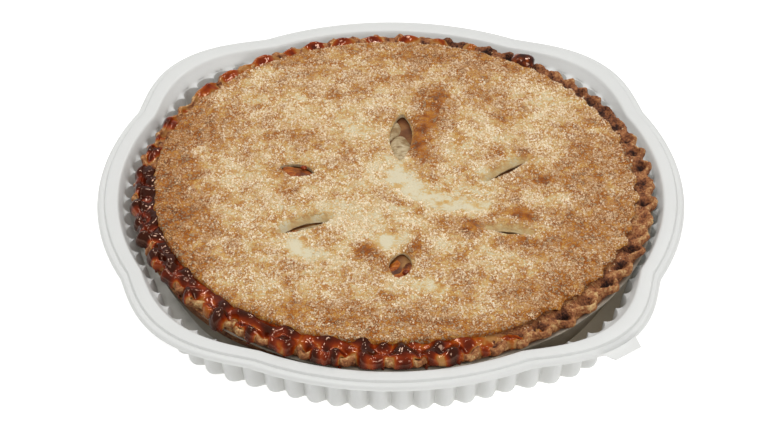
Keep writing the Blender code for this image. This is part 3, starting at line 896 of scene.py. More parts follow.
def lid_relief(x, y):
    """What lies on the slow form: lumps, dimples and folds."""
    reach = np.minimum(np.hypot(x, y) / LID_RADIUS, 1.0)
    relief = 1.05 * MM * plan_noise(x, y, 17, 1.7) * (1 - 0.5 * reach ** 6)
    relief = relief + 0.42 * MM * plan_noise(x, y, 7.5, 5.2)
    relief = relief + 0.30 * MM * plan_noise(x, y, 3.2, 8.8)
    relief = with_rises(relief, x, y, DIMPLES)
    for fold in FOLDS:
        away, near = fold_distance(x, y, fold)
        relief = relief + near * 1.0 * MM * np.exp(-away / (4.5 * MM))
        relief = relief - 0.7 * MM * np.exp(-(away / (1.1 * MM)) ** 2)
    return relief


def lip_relief(x, y):
    """How the crust curls down, or up, at its slits."""
    relief = np.zeros(np.shape(x))
    for slit in SLITS:
        away, far = slit_distance(x, y, slit)
        sink = (far * slit[5] + (1 - far) * slit[6]) * MM
        relief = relief - sink * np.exp(-(away / ((2.6 + 1.4 * far) * MM)) ** 2)
        relief = relief - 0.7 * MM * np.exp(-(away / (0.7 * MM)) ** 2)
        relief = relief + 0.5 * MM * np.exp(-((away - 5 * MM) / (2.6 * MM)) ** 2)
    return relief


def lid_height(x, y):
    reach = np.hypot(x, y)
    inwards = (lid_radius(np.arctan2(y, x)) - reach) / EDGE_ROUND
    rounding = 1 - np.sqrt(1 - np.clip(1 - inwards, 0, 1) ** 2)
    return lid_dome(x, y) + lid_relief(x, y) + lip_relief(x, y) - 2.0 * MM * rounding


# %% [markdown]
# A square grid of faces is stretched into a disc, because a grid keeps its faces even where rings
# would crowd at the middle. Solidify gives it the thickness of rolled dough while it is coarse. Then
# only its upper side is subdivided, and once more round the slits, where the lips need it.

# %% Top crust: sheet, thickness and fine faces
LID_CELLS = 64
LID_CUTS = 3
FINE_BY_SLIT = 4.0 * MM


def from_middle(places):
    """Plan places as x and y from the pie's middle."""
    return places[:, 0] - PIE[0], places[:, 1] - PIE[1]


def add_lid_sheet():
    put_down()
    bpy.ops.mesh.primitive_grid_add(x_subdivisions=LID_CELLS, y_subdivisions=LID_CELLS, size=2.0)
    lid = name_new("top_crust_baked")
    u, v, _ = points_of(lid).T
    x = u * np.sqrt(1 - v ** 2 / 2)
    y = v * np.sqrt(1 - u ** 2 / 2)
    size = lid_radius(np.arctan2(y, x))
    x, y = x * size, y * size
    move_points(lid, np.stack((PIE[0] + x, PIE[1] + y, lid_dome(x, y)), axis=-1))
    return lid


def thicken_lid(lid):
    """Rolled dough under the sheet, down to the seat on the bottom crust."""
    add_wall(lid, LID_THICK)
    apply_all(lid)
    upper = len(lid.data.vertices) // 2
    places = points_of(lid)
    x, y = from_middle(places[upper:])
    shrink = np.minimum(1.0, (LID_RADIUS - 1.2 * MM) / np.maximum(np.hypot(x, y), MM))
    x, y = x * shrink, y * shrink
    floor_height = np.maximum(lid_dome(x, y) - LID_THICK, SEAT + GAP)
    places[upper:] = np.stack((PIE[0] + x, PIE[1] + y, floor_height), axis=-1)
    move_points(lid, places)


def subdivide_points(piece, chosen, cuts):
    select_points(piece, chosen)
    bpy.ops.mesh.subdivide(number_cuts=cuts, quadcorner="INNERVERT")
    put_down()


def lid_top(lid):
    """Which points belong to the upper side, and their place from the pie's middle."""
    places = points_of(lid)
    x, y = from_middle(places)
    top = places[:, 2] > lid_dome(x, y) - 0.5 * LID_THICK
    return top, x, y


lid = add_lid_sheet()
face_up(lid)
thicken_lid(lid)
subdivide_points(lid, lid_top(lid)[0], LID_CUTS)
top, x, y = lid_top(lid)
by_slit = np.min([slit_distance(x, y, slit)[0] for slit in SLITS], axis=0)
subdivide_points(lid, top & (by_slit < FINE_BY_SLIT), 1)
top, x, y = lid_top(lid)
places = points_of(lid)
places[top, 2] = lid_height(x[top], y[top])
move_points(lid, places)
print("top crust faces:", len(lid.data.polygons))

# %% [markdown]
# The slits are cut with upright blades, as a knife would: a cylinder for each, drawn out to an
# almond. The blades carry a second finish, and the Boolean hands it to the walls of the cut, so the
# pale crumb of the dough shows there and not the browned top.

# %% Top crust: the slits
BLADE_SIDES = 48
BLADE_DEPTH = 30 * MM
RAGGED = 0.35 * MM


def laid_out(middle, along, across, degrees):
    """Plan places along and across a direction, from a middle."""
    turn = math.radians(degrees)
    x = middle[0] + along * math.cos(turn) - across * math.sin(turn)
    y = middle[1] + along * math.sin(turn) + across * math.cos(turn)
    return x, y


def add_blade(slit):
    middle_x, middle_y, direction, length, width = slit[:5]
    put_down()
    bpy.ops.mesh.primitive_cylinder_add(vertices=BLADE_SIDES, radius=0.5, depth=BLADE_DEPTH)
    blade = name_new("blade")
    places = points_of(blade)
    taper = 1 - 1.2 * places[:, 0] ** 2
    along = places[:, 0] * length * MM
    ragged = RAGGED * uneven(along / (4 * MM), middle_x, places[:, 2] / (3 * MM))
    across = places[:, 1] * width * MM * taper + ragged
    middle = (PIE[0] + middle_x * MM, PIE[1] + middle_y * MM)
    places[:, 0], places[:, 1] = laid_out(middle, along, across, direction)
    places[:, 2] += LID_CROWN
    move_points(blade, places)
    return blade


crumb_finish = Finish("slit_dough", Roughness=0.75, Specular_IOR_Level=0.3)
crust_finish = Finish("baked_top_crust", Specular_IOR_Level=0.15)
lid.data.materials.append(crust_finish.material)
for slit in SLITS:
    blade = add_blade(slit)
    blade.data.materials.append(crumb_finish.material)
    combine(lid, blade, "DIFFERENCE", "TRANSFER")
print("after the slits:", len(lid.data.polygons), "faces,", len(lid.data.materials), "finishes")

# %% [markdown]
# Baking browns whatever stands high or lies near the edge, and leaves valleys and stretched dough
# pale. Three numbers are painted on the points: how brown the crust is, how bare it is of sugar, and
# where the lips of the slits lie. Spots are placed where the real crust has them: browned ones that
# have lost their sugar, toasted ones that keep it, and pale ones. The finish adds fine mottling.

# %% Top crust: brown, toasted and pale spots
# Spots in mm from the pie's middle: x, y, reach along x, reach along y, amount
BROWN_SPOTS = (
    (15, 34, 6, 13, 0.50), (28, 76, 9, 14, 0.46), (21, 54, 8, 12, 0.50), (19, 18, 5, 9, 0.22),
    (-31, 13, 12, 8, 0.22), (112, -30, 26, 60, 0.12), (-58, -12, 6, 3, 0.30), (45, -44, 9, 8, 0.50),
    (-15, -66, 8, 7, 0.50), (14, -60, 4, 9, 0.42), (64, -30, 9, 5, 0.36), (76, -33, 7, 7, 0.55),
    (72, -55, 12, 5, 0.42), (-75, 28, 16, 12, 0.20), (86, 0, 10, 5, 0.40), (60, 22, 9, 5, 0.26),
    (-36, -17, 8, 3, 0.22), (-24, -19, 5, 3, 0.26), (2, -20, 8, 4, 0.22), (15, -25, 7, 5, 0.26),
    (38, -72, 12, 7, 0.20), (95, 10, 8, 14, 0.12), (52, 82, 14, 10, 0.16), (70, 60, 9, 9, 0.20),
    (-50, 40, 14, 9, 0.12), (76, -98, 16, 10, 0.24), (104, -60, 14, 20, 0.14),
    (-104, 60, 20, 22, 0.14), (60, 112, 30, 10, 0.20), (128, 20, 12, 40, 0.14), (70, 26, 12, 5, 0.20),
    (68, -8, 14, 6, 0.14), (24, 34, 7, 16, 0.12), (45, -55, 7, 5, 0.20), (-64, 6, 5, 4, 0.15),
    (-40, -4, 5, 3, 0.18),
)
# Browner places that keep their sugar
TOASTED_SPOTS = (
    (-133, 4, 8, 60, 0.30), (-126, -46, 9, 30, 0.28), (-112, -80, 11, 20, 0.26),
    (-120, 52, 9, 26, 0.22), (-116, 0, 20, 60, 0.10), (86, -88, 22, 14, 0.20),
    (112, -46, 18, 22, 0.12), (-128, 10, 14, 50, 0.22), (-120, -40, 14, 34, 0.22),
    (-60, -118, 40, 12, 0.20), (20, -126, 60, 9, 0.22), (4, 124, 60, 10, 0.22), (0, 100, 80, 20, 0.06),
)
PALE_SPOTS = (
    (4.8, 16, 6, 8, 0.34), (3, 4, 9, 9, 0.34), (10, -7, 10, 9, 0.36), (18, -14, 10, 9, 0.34),
    (27, -19, 11, 9, 0.34), (37, -22, 11, 9, 0.34), (47, -24, 10, 8, 0.34), (56, -24, 7, 6, 0.24),
    (-54, -61, 7, 9, 0.66), (-44, -67, 10, 5, 0.36), (-62, -56, 7, 5, 0.20), (-4, -58, 5, 7, 0.66),
    (4, -55, 7, 5, 0.40), (17, -92, 10, 4, 0.42), (26, -98, 10, 4, 0.46), (-28, 53, 13, 8, 0.26),
    (-14, 48, 12, 10, 0.26), (-14, 10, 16, 14, 0.16), (4, -3, 12, 7, 0.12), (-24, -30, 28, 10, 0.24),
    (-20, -48, 22, 9, 0.20), (30, -62, 10, 8, 0.22), (50, -72, 16, 7, 0.24), (16, -84, 14, 10, 0.18),
    (100, 78, 12, 12, 0.14), (-66, -96, 18, 9, 0.14), (80, -84, 6, 7, 0.16), (-88, 8, 20, 18, 0.12),
    (-84, -28, 22, 12, 0.14), (-60, 70, 20, 12, 0.12), (40, 0, 14, 8, 0.12),
)
print("spots:", len(BROWN_SPOTS), "brown,", len(TOASTED_SPOTS), "toasted,", len(PALE_SPOTS), "pale")


# %% Top crust: how brown and how bare
def spots_at(x, y, spots):
    """The sum of some soft spots at each place."""
    total = np.zeros(np.shape(x))
    for middle_x, middle_y, reach_x, reach_y, amount in spots:
        off = ((x / MM - middle_x) / reach_x) ** 2 + ((y / MM - middle_y) / reach_y) ** 2
        total = total + amount * np.exp(-off)
    return total


BARE_FROM = 0.24
BAKE_START = 0.41
BAKE_PER_RELIEF = 48.0
BAKE_KNEE = 0.66


def bake_at(x, y):
    """0 is white dough, 1 is scorched; the browned spots level off at orange brown."""
    reach = np.hypot(x, y) / LID_RADIUS
    bake = BAKE_START + 0.12 * np.clip((reach - 0.55) / 0.45, 0, 1)
    bake = bake + 0.16 * np.clip((reach - 0.93) / 0.07, 0, 1)
    bake = bake + 0.17 * plan_noise(x, y, 26, 4.4)
    bake = bake + 0.26 * plan_noise(x, y, 10, 6.4)
    bake = bake + BAKE_PER_RELIEF * lid_relief(x, y)
    thin = 0.80 + 0.45 * plan_noise(x, y, 5, 2.2)
    bake = bake + spots_at(x, y, BROWN_SPOTS) + spots_at(x, y, TOASTED_SPOTS)
    bake = bake - thin * spots_at(x, y, PALE_SPOTS)
    return np.where(bake > BAKE_KNEE, BAKE_KNEE + 0.30 * (bake - BAKE_KNEE), bake)


def lip_at(x, y):
    """1 on the stretched lips of the slits, where neither sugar nor much heat came, and shade is
    painted.
    """
    lip = np.zeros(np.shape(x))
    for slit in SLITS:
        away, far = slit_distance(x, y, slit)
        curled = slit[5] > LIP_CURLS
        width = (0.5 + 2.9 * far if curled else 0.8) * MM
        lip = np.maximum(lip, (0.9 if curled else 0.3) * np.exp(-(away / width) ** 2))
    return lip


def bare_at(x, y):
    """1 where the crust has no sugar: the hearts of pale and browned spots, with torn edges."""
    torn = 0.20 * plan_noise(x, y, 4, 12.0) + 0.14 * plan_noise(x, y, 1.7, 2.0)
    pale = np.clip(spots_at(x, y, PALE_SPOTS) - BARE_FROM + torn, 0, 1)
    brown = np.clip(spots_at(x, y, BROWN_SPOTS) - BARE_FROM + torn, 0, 1)
    return np.clip(1.8 * pale + 2.2 * brown + 1.0 * lip_at(x, y), 0, 1)


x, y = from_middle(points_of(lid))
bare = bare_at(x, y)
lip = lip_at(x, y)
paint(lid, "bake", bake_at(x, y) * (1 - 0.6 * lip) + 0.06 * lip)
paint(lid, "bare", bare)
paint(lid, "lip", lip)
print("bare share of the crust:", round(float(bare.mean()), 3))

# %% [markdown]
# The browning goes through a ramp from cream through gold to dark brown. Three sizes of noise break
# it up: patches, clumps and the grain of the sugar, which is also a pale frost wherever sugar lies.
# The lips of the slits curl down, and their pale dough takes a darker grey tone of painted shade.
# The crumb in the slits is pale and dull, darker in the places where the juice has soaked in.

# %% Top crust: finish
CRUST_STOPS = (
    (0.00, (0.71, 0.63, 0.44)), (0.13, (0.66, 0.53, 0.30)), (0.31, (0.62, 0.380, 0.125)),
    (0.48, (0.48, 0.210, 0.038)), (0.64, (0.380, 0.122, 0.014)), (0.82, (0.26, 0.066, 0.008)),
    (1.00, (0.10, 0.025, 0.007)),
)
patch = crust_finish.speckle(0.0065, 3.0)
clump = crust_finish.speckle(0.0024, 2.0)
grain = crust_finish.speckle(0.0012, 2.0)
rough_skin = 1 - crust_finish.painted("bare")
mottle = 0.30 * (patch.between(0.36, 0.64) - 0.5)
mottle = mottle + (0.07 + 0.17 * rough_skin) * (clump.between(0.36, 0.64) - 0.5)
mottle = mottle + (0.04 + 0.20 * rough_skin) * (grain.between(0.36, 0.64) - 0.5)
browned = crust_finish.painted("bake") + mottle
frost = (grain * 0.55 + clump * 0.45).between(0.51, 0.60) * rough_skin * 0.40
baked = crust_finish.ramp(browned, CRUST_STOPS)
# painted shade: the curled lips of the slits get a darker grey tone
baked = crust_finish.mix(0.65 * crust_finish.painted("lip"), baked, rgb(0.43, 0.345, 0.20))
crust_finish.feeds(Base_Color=crust_finish.mix(frost, baked, rgb(0.82, 0.63, 0.37)))
crust_finish.feeds(Roughness=0.50 + 0.30 * grain)
skin = crust_finish.bump(patch, 0.8 * MM)
skin = crust_finish.bump(clump * (0.25 + 0.75 * rough_skin), 0.9 * MM, skin)
crust_finish.feeds(Normal=crust_finish.bump(grain * (0.2 + 0.8 * rough_skin), 0.6 * MM, skin))

crumb = crumb_finish.speckle(0.0016, 4.0)
soaked = crumb_finish.speckle(0.007, 2.0)
dough = crumb_finish.mix(crumb.between(0.3, 0.7), rgb(0.46, 0.34, 0.18), rgb(0.80, 0.69, 0.47))
crumb_finish.feeds(Base_Color=crumb_finish.mix(0.5 * soaked, dough, rgb(0.42, 0.23, 0.08)))
crumb_finish.feeds(Normal=crumb_finish.bump(crumb, 0.8 * MM))
finish_piece(lid, None, 50.0, "top_crust", "top_crust")

# %% [markdown]
# Under the crust lies the filling: soft apple slices in amber syrup. Only what shows through the
# slits matters, so the body is a plain lumpy form up to the underside of the crust, and whole
# slices lie just below each slit. A slice is a sphere, flattened, tapered and bent into a crescent.

# %% Filling: body
FILLING_POINTS = 240
# Radius and height in mm up the hidden wall, and the radii of the rings on top
FILLING_WALL = ((126.0, 6.7), (131.0, 8.7), (134.6, 34.0))
FILLING_TOP = np.linspace(134.0, 3.0, 44)


def shape_filling(filling):
    places = points_of(filling)
    x, y = from_middle(places)
    top = places[:, 2] > 40 * MM
    under = np.maximum(lid_dome(x, y) - LID_THICK, SEAT + GAP) - GAP
    lumps = plan_noise(x, y, 9, 2.2) + 0.5 * plan_noise(x, y, 4, 7.0)
    places[top, 2] = (under - 0.6 * MM + 0.5 * MM * np.clip(lumps, -2, 1))[top]
    move_points(filling, places)


filling_top = [(radius, 41.0) for radius in FILLING_TOP]
filling = pull_rings("apple_filling", FILLING_POINTS, PIE, in_mm((*FILLING_WALL, *filling_top)))
shape_filling(filling)
close_holes(filling)
print("filling points:", len(filling.data.vertices))

# %% Filling: apple slices
# Slices in mm from the pie's middle: x, y, depth below the crust's top, direction, length, width
PALE_SLICES = (
    (-1, 50, 2.6, 72, 24, 9), (6, 34, 1.8, -70, 22, 13), (3, 27, 2.2, 20, 24, 12),
    (66, -45, 3.6, -8, 28, 8), (67, 9, 3.6, 37, 30, 8), (-45, -38, 3.6, 22, 26, 8),
)
AMBER_SLICES = (
    (-56, 9.0, 0.4, -22, 19, 12), (-58, -46, 2.2, 30, 14, 8), (7, -76, 3.3, 70, 20, 9),
    (0, -72, 3.9, 60, 18, 8), (1, -81, 3.9, 25, 20, 10), (78, -47, 2.6, -12, 12, 6),
    (77, 17, 2.6, -30, 12, 6),
)
SLICE_THICK = 3.0 * MM


def add_ball(name, segments, rings):
    """A sphere of radius 1 round the origin, to be squashed and laid in place."""
    put_down()
    bpy.ops.mesh.primitive_uv_sphere_add(segments=segments, ring_count=rings, radius=1.0)
    return name_new(name)


def add_slice(row):
    x, y, depth, direction, length, width = np.array(row) * (MM, MM, MM, 1, MM, MM)
    made = add_ball("slice", 28, 16)
    along, across, high = points_of(made).T
    taper = np.sqrt(np.clip(1 - 0.35 * along ** 2, 0, 1))
    bent = across * width / 2 * taper + 0.16 * length * (along ** 2 - 0.4)
    lift = high * SLICE_THICK * taper * (1 - 0.35 * across)
    ripple = 0.35 * MM * uneven(along * 5, across * 3 + row[0], high * 3 + row[1])
    plan = laid_out((PIE[0] + x, PIE[1] + y), along * length / 2, bent, direction)
    height = lid_dome(x, y) - depth - SLICE_THICK + lift + ripple
    move_points(made, np.stack((*plan, height), axis=-1))
    return made


def join_pieces(name, made):
    put_down()
    for piece in made:
        piece.select_set(True)
    bpy.context.view_layer.objects.active = made[0]
    bpy.ops.object.join()
    joined = bpy.context.object
    joined.name = name
    joined.data.name = name
    put_down()
    return joined


pale_slices = join_pieces("pale_apple_slices", [add_slice(row) for row in PALE_SLICES])
amber_slices = join_pieces("amber_apple_slices", [add_slice(row) for row in AMBER_SLICES])

# %% [markdown]
# Cooked apple is soft and half clear, with fine threads along the slice, and the syrup round it is
# amber where thin and brown where deep. Both are wet, so they are smooth, and a slice has a thin coat.

# %% Filling: finish
def apple_finish(name, soaked, stops):
    """Soft, half clear flesh with threads, between the soaked colour and the stops."""
    finish = Finish(name, Coat_Weight=0.06, Coat_Roughness=0.05, Specular_IOR_Level=0.2)
    threads = finish.speckle(0.0035, 4.0, (1.0, 2.2, 1.0), 0.8)
    soaking = finish.speckle(0.010, 2.0).between(0.48, 0.72)
    finish.feeds(Base_Color=finish.mix(soaking, finish.ramp(threads, stops), soaked))
    finish.feeds(Roughness=0.25 + 0.25 * threads)
    finish.feeds(Normal=finish.bump(threads, 0.9 * MM))
    return finish


pale_apple = apple_finish("pale_cooked_apple", rgb(0.28, 0.17, 0.07), (
    (0.28, (0.24, 0.15, 0.065)), (0.45, (0.44, 0.32, 0.17)), (0.60, (0.58, 0.46, 0.28)),
    (0.78, (0.70, 0.60, 0.42))))
amber_apple = apple_finish("amber_cooked_apple", rgb(0.11, 0.026, 0.007), (
    (0.25, (0.14, 0.022, 0.006)), (0.42, (0.30, 0.060, 0.007)), (0.58, (0.47, 0.135, 0.015)),
    (0.80, (0.62, 0.28, 0.06))))
finish_piece(pale_slices, pale_apple, 60.0, "apple_filling")
finish_piece(amber_slices, amber_apple, 60.0, "apple_filling")

amber = Finish("amber_filling", Specular_IOR_Level=0.3)
pool = amber.speckle(0.010, 3.0)
amber.feeds(Base_Color=amber.ramp(pool, (
    (0.30, (0.075, 0.022, 0.008)), (0.50, (0.18, 0.065, 0.018)), (0.70, (0.34, 0.17, 0.05)))))
amber.feeds(Roughness=0.30 + 0.20 * amber.speckle(0.004, 2.0))
amber.feeds(Normal=amber.bump(pool, 0.9 * MM))
finish_piece(filling, amber, 60.0, "apple_filling", "filling")

# %% [markdown]
# Syrup boiled out between the crusts and set: in single beads along the far side, and as one thick,
# lumpy mass down the left and along the near side, with the arches of the rim standing out of it.
# It is a sheet laid over the rim's own rule, at a depth that noise and the beads give. Where the
# depth is below nothing, the sheet dives under the crust and its faces are taken away.

# %% Syrup: the rule for its depth
# Beads along the far rim: plan angle in degrees, radius in mm, height, length along the rim, width
BEADS = (
    (174, 144.5, 2.6, 6.0, 5.0), (166, 145.0, 2.9, 6.6, 5.2), (161, 146.0, 1.6, 3.8, 3.8),
    (155, 146.3, 3.5, 6.6, 5.4), (149, 146.0, 1.4, 4.5, 4.0), (141, 146.4, 3.0, 7.2, 5.2),
    (138, 147.2, 1.8, 4.4, 4.2), (132, 146.8, 3.3, 7.8, 5.2), (127, 147.6, 1.6, 4.4, 4.0),
    (122.0, 147.4, 3.4, 7.4, 5.2), (115, 148.0, 1.6, 5.4, 4.0), (109, 147.8, 3.0, 7.0, 4.6),
    (102.0, 147.4, 2.8, 7.2, 4.6), (94.5, 147.4, 2.5, 7.0, 4.2), (86, 148.2, 2.3, 6.6, 4.0),
    (79, 148.4, 1.6, 5.0, 3.4), (71, 148.4, 1.4, 4.4, 3.4), (-64, 147.2, 2.0, 6.4, 4.4),
)
# The mass runs from the left side round to the near side, in degrees
MASS_FROM, MASS_FULL, MASS_THINS, MASS_TO = 166.0, 180.0, 286.0, 298.0
# Tan arches that stand clear of the mass: plan angle in degrees, radius and reach in mm
ARCHES = (
    (-176, 151.0, 3.4), (-169, 151.5, 2.6), (-158.3, 149.5, 4.8), (-150.7, 151.0, 3.6),
    (-143.8, 149.0, 5.2), (-137.3, 150.0, 4.6), (-127.1, 147.0, 3.2), (-123.7, 152.0, 4.0),
    (-118.6, 151.0, 4.4), (-109.5, 151.5, 5.2), (-99, 152.0, 5.6), (-91, 152.5, 3.4),
    (-84, 152.0, 4.4), (-73, 151.0, 5.4), (-67, 150.5, 5.0), (178, 152.0, 2.6), (171, 151.5, 2.4),
)


def degrees_off(degrees, middle):
    """How far round from a middle, between -180 and 180."""
    return np.mod(degrees - middle + 180, 360) - 180


def syrup_depth(angle, radius):
    """Depth of the syrup over the smoothed rim, in metres; below zero there is none."""
    degrees = np.degrees(np.mod(angle, TURN))
    x, y = radius * np.cos(angle), radius * np.sin(angle)
    mass = climb(degrees, MASS_FROM, MASS_FULL) * (1 - climb(degrees, MASS_THINS, MASS_TO))
    lumps = plan_noise(x, y, 11, 5.0)
    blobs = 2 * np.abs(plan_noise(x, y, 10, 1.0))
    depth = -1.3 + mass * (2.6 + 1.3 * lumps + 2.6 * blobs)
    for arch_angle, arch_radius, reach in ARCHES:
        along = np.radians(degrees_off(degrees, arch_angle)) * arch_radius / reach
        across = np.minimum(radius / MM - arch_radius, 0) / (0.9 * reach)
        depth = depth - 4.5 * np.exp(-(along ** 2 + across ** 2) ** 1.5)
    for bead_angle, bead_radius, height, length, width in BEADS:
        along = np.radians(degrees_off(degrees, bead_angle)) * bead_radius / length
        across = (radius / MM - bead_radius) / width
        depth = depth + (height + 0.9) * np.exp(-(along ** 2 + across ** 2) ** 1.4)
    return MM * (depth + 0.25 * plan_noise(x, y, 2.6, 3.0))


# %% Syrup: mesh
SYRUP_FROM, SYRUP_TO = math.radians(64), math.radians(304)
SYRUP_COLUMNS = 1100
SYRUP_ROWS = 36
SYRUP_SKIN = 0.8 * MM
SYRUP_HEM = 0.7 * MM


def add_syrup():
    """The syrup's sheet, how far each point lies above the crust, and its plan angle in degrees."""
    put_down()
    bpy.ops.mesh.primitive_grid_add(x_subdivisions=SYRUP_COLUMNS, y_subdivisions=SYRUP_ROWS, size=2.0)
    syrup = name_new("boiled_over_syrup")
    u, v, _ = points_of(syrup).T
    angle = SYRUP_FROM + (SYRUP_TO - SYRUP_FROM) * (u + 1) / 2
    across = 0.02 + 0.97 * (v + 1) / 2
    radius, height = rim_surface(across, angle, 0.45)
    depth = syrup_depth(angle, radius)
    lean = np.radians(95) * climb(across, 0.62, 0.98)
    radius = radius + depth * np.sin(lean)
    height = height + depth * np.cos(lean)
    move_points(syrup, ring_places(angle, radius, height, PIE))
    crust_radius, crust_height = rim_surface(across, angle)
    above = (height - crust_height) * np.cos(lean) + (radius - crust_radius) * np.sin(lean)
    return syrup, above, np.degrees(angle)


def drop_hidden(syrup, above):
    """Take away the faces that lie well under the crust."""
    select_points(syrup, above < -SYRUP_HEM)
    bpy.ops.mesh.delete(type="VERT")
    put_down()


def tell_depth(syrup, above, degrees):
    """Paint the depth, less at the far left, where the syrup is amber, and more at the dark left."""
    amber_side = climb(degrees, 114, 124) * (1 - climb(degrees, 150, 160))
    dark_side = climb(degrees, 152, 162) * (1 - climb(degrees, 205, 225))
    paint(syrup, "depth", above / MM * (1 - 0.6 * amber_side + 0.6 * dark_side))


syrup, above, degrees = add_syrup()
tell_depth(syrup, above, degrees)
drop_hidden(syrup, above)
face_up(syrup)
add_wall(syrup, SYRUP_SKIN)
apply_all(syrup)
print("syrup faces:", len(syrup.data.polygons))

# %% [markdown]
# One large drop stands alone at the far right, almost black. Along the near left edge the syrup ran
# over the rim, and a few drips hang down the tin. Small beads shine on the apple in the slits. All of
# these are spheres, squashed or drawn out.

# %% Syrup: the large drop and the drips
# The drop: plan angle in degrees, radius and height in mm
DROP_ANGLE, DROP_RADIUS, DROP_HEIGHT = 56.6, 145.2, 43.9
DROP_SIZE = (6.3 * MM, 7.8 * MM, 4.0 * MM)
# Drips: plan angle in degrees, length and width in mm
DRIPS = (
    (-131.5, 7.0, 2.6), (-129.0, 5.5, 2.0), (-122.0, 6.0, 2.2), (-113.0, 4.0, 2.0),
    (-101.0, 5.0, 2.6), (-92.0, 4.0, 2.2), (-83.0, 5.0, 2.4), (-76.0, 4.0, 2.2),
    (-143.0, 4.5, 2.2), (-153.0, 4.0, 2.0),
)
DRIP_TOP = 38.4 * MM
# Beads on the apple in the slits, in mm from the pie's middle: x, y, depth below the crust, size
WET_SPOTS = ((-51.8, 11.2, 0.4, 2.0), (8.0, -80.0, 3.4, 2.6), (-58.0, -46.5, 2.4, 1.6))


def add_drop():
    drop = add_ball("dark_syrup_drop", 56, 28)
    across, along, high = points_of(drop).T
    swell = 1 + 0.16 * uneven(across * 1.3, along * 1.3, high * 1.3 + 4)
    reach = DROP_RADIUS * MM + across * DROP_SIZE[0] * swell
    plan = laid_out(PIE, reach, along * DROP_SIZE[1] * swell, DROP_ANGLE)
    sag = np.where(high < 0, 0.7, 1.0)
    move_points(drop, np.stack((*plan, DROP_HEIGHT * MM + high * DROP_SIZE[2] * swell * sag), axis=-1))
    return drop


def add_drip(row):
    degrees, length, width = row
    drip = add_ball("drip", 20, 14)
    across, along, high = points_of(drip).T
    slim = 0.62 + 0.38 * climb(-high, -0.2, 0.7)
    edge, _ = rim_surface(np.array([0.93]), np.array([math.radians(degrees)]), 0.5)
    radius = edge[0] - 0.2 * MM + across * width / 2 * MM * slim * 0.8
    plan = laid_out(PIE, radius, along * width / 2 * MM * slim, degrees)
    height = DRIP_TOP - length / 2 * MM + high * length / 2 * MM
    move_points(drip, np.stack((*plan, height), axis=-1))
    return drip


def add_wet_spot(row):
    x, y, depth, size = np.array(row) * MM
    spot = add_ball("wet_spot", 20, 14)
    middle = np.array((PIE[0] + x, PIE[1] + y, lid_dome(x, y) - depth))
    move_points(spot, middle + points_of(spot) * (size, 0.8 * size, 0.6 * size))
    return spot


drop = add_drop()
drips = [add_drip(row) for row in DRIPS] + [add_wet_spot(row) for row in WET_SPOTS]
drips = join_pieces("syrup_drips", drips)

# %% [markdown]
# Set fruit syrup is dark red-brown where it is deep and glows amber where it is thin. The mesh
# carries its depth, and a ramp turns depth into colour. The surface is smooth and wet, with a few
# small bubbles and wrinkles that break up the reflections.

# %% Syrup: finish
def syrup_finish(name, stops, depth_from):
    finish = Finish(name, Specular_IOR_Level=0.6)
    finish.shader.inputs["Specular Tint"].default_value = rgb(1.0, 0.64, 0.46)
    cloud = finish.speckle(0.0075, 2.0)
    depth = depth_from(finish) + 1.2 * (cloud.between(0.34, 0.66) - 0.5)
    finish.feeds(Base_Color=finish.ramp(depth * 0.25, stops))
    finish.feeds(Roughness=0.04 + 0.09 * finish.speckle(0.003, 2.0))
    wrinkle = finish.bump(cloud, 0.45 * MM)
    finish.feeds(Normal=finish.bump(finish.speckle(0.0022, 1.0), 0.14 * MM, wrinkle))
    return finish


SYRUP_STOPS = (
    (0.00, (0.44, 0.210, 0.065)), (0.10, (0.38, 0.112, 0.014)), (0.26, (0.33, 0.048, 0.004)),
    (0.46, (0.19, 0.018, 0.002)), (0.75, (0.085, 0.007, 0.001)), (1.00, (0.035, 0.004, 0.001)),
)
DROP_STOPS = (
    (0.30, (0.26, 0.050, 0.006)), (0.48, (0.070, 0.009, 0.002)), (0.70, (0.018, 0.003, 0.002)),
)
set_syrup = syrup_finish("set_syrup", SYRUP_STOPS, lambda finish: finish.painted("depth"))
thin_syrup = syrup_finish("hanging_syrup", SYRUP_STOPS, lambda finish: 4.0 * finish.speckle(0.006))
dark_syrup = syrup_finish("dark_syrup", DROP_STOPS, lambda finish: 4.0 * finish.speckle(0.006))
finish_piece(syrup, set_syrup, 80.0, "syrup", "syrup_ring")
finish_piece(drips, thin_syrup, 80.0, "syrup")
finish_piece(drop, dark_syrup, 80.0, "dark_syrup", "syrup_bead")

# %% [markdown]
# Coarse sugar was strewn over the top crust before baking. Each crystal is real geometry: cubes for
# the coarse ones, and splinters with four or three sides for the finer ones. They are thrown at
# random places with a fixed seed, kept off bare dough, and let down onto the crust with a ray. At
# the right some lie on the rim too. Each crystal carries how brown the crust is under it.

# %% Sugar: throwing the crystals
def joined_tree(*pieces):
    """One search tree for all the faces of some pieces."""
    corners, faces = [], []
    for piece in pieces:
        start = len(corners)
        corners += [tuple(point.co) for point in piece.data.vertices]
        faces += [[start + corner for corner in face.vertices] for face in piece.data.polygons]
    return BVHTree.FromPolygons(corners, faces)


crust_tree = joined_tree(lid, rim_crust)
SUGAR_REACH = LID_RADIUS + 9 * MM
SUGAR_FLOOR = 40.6 * MM


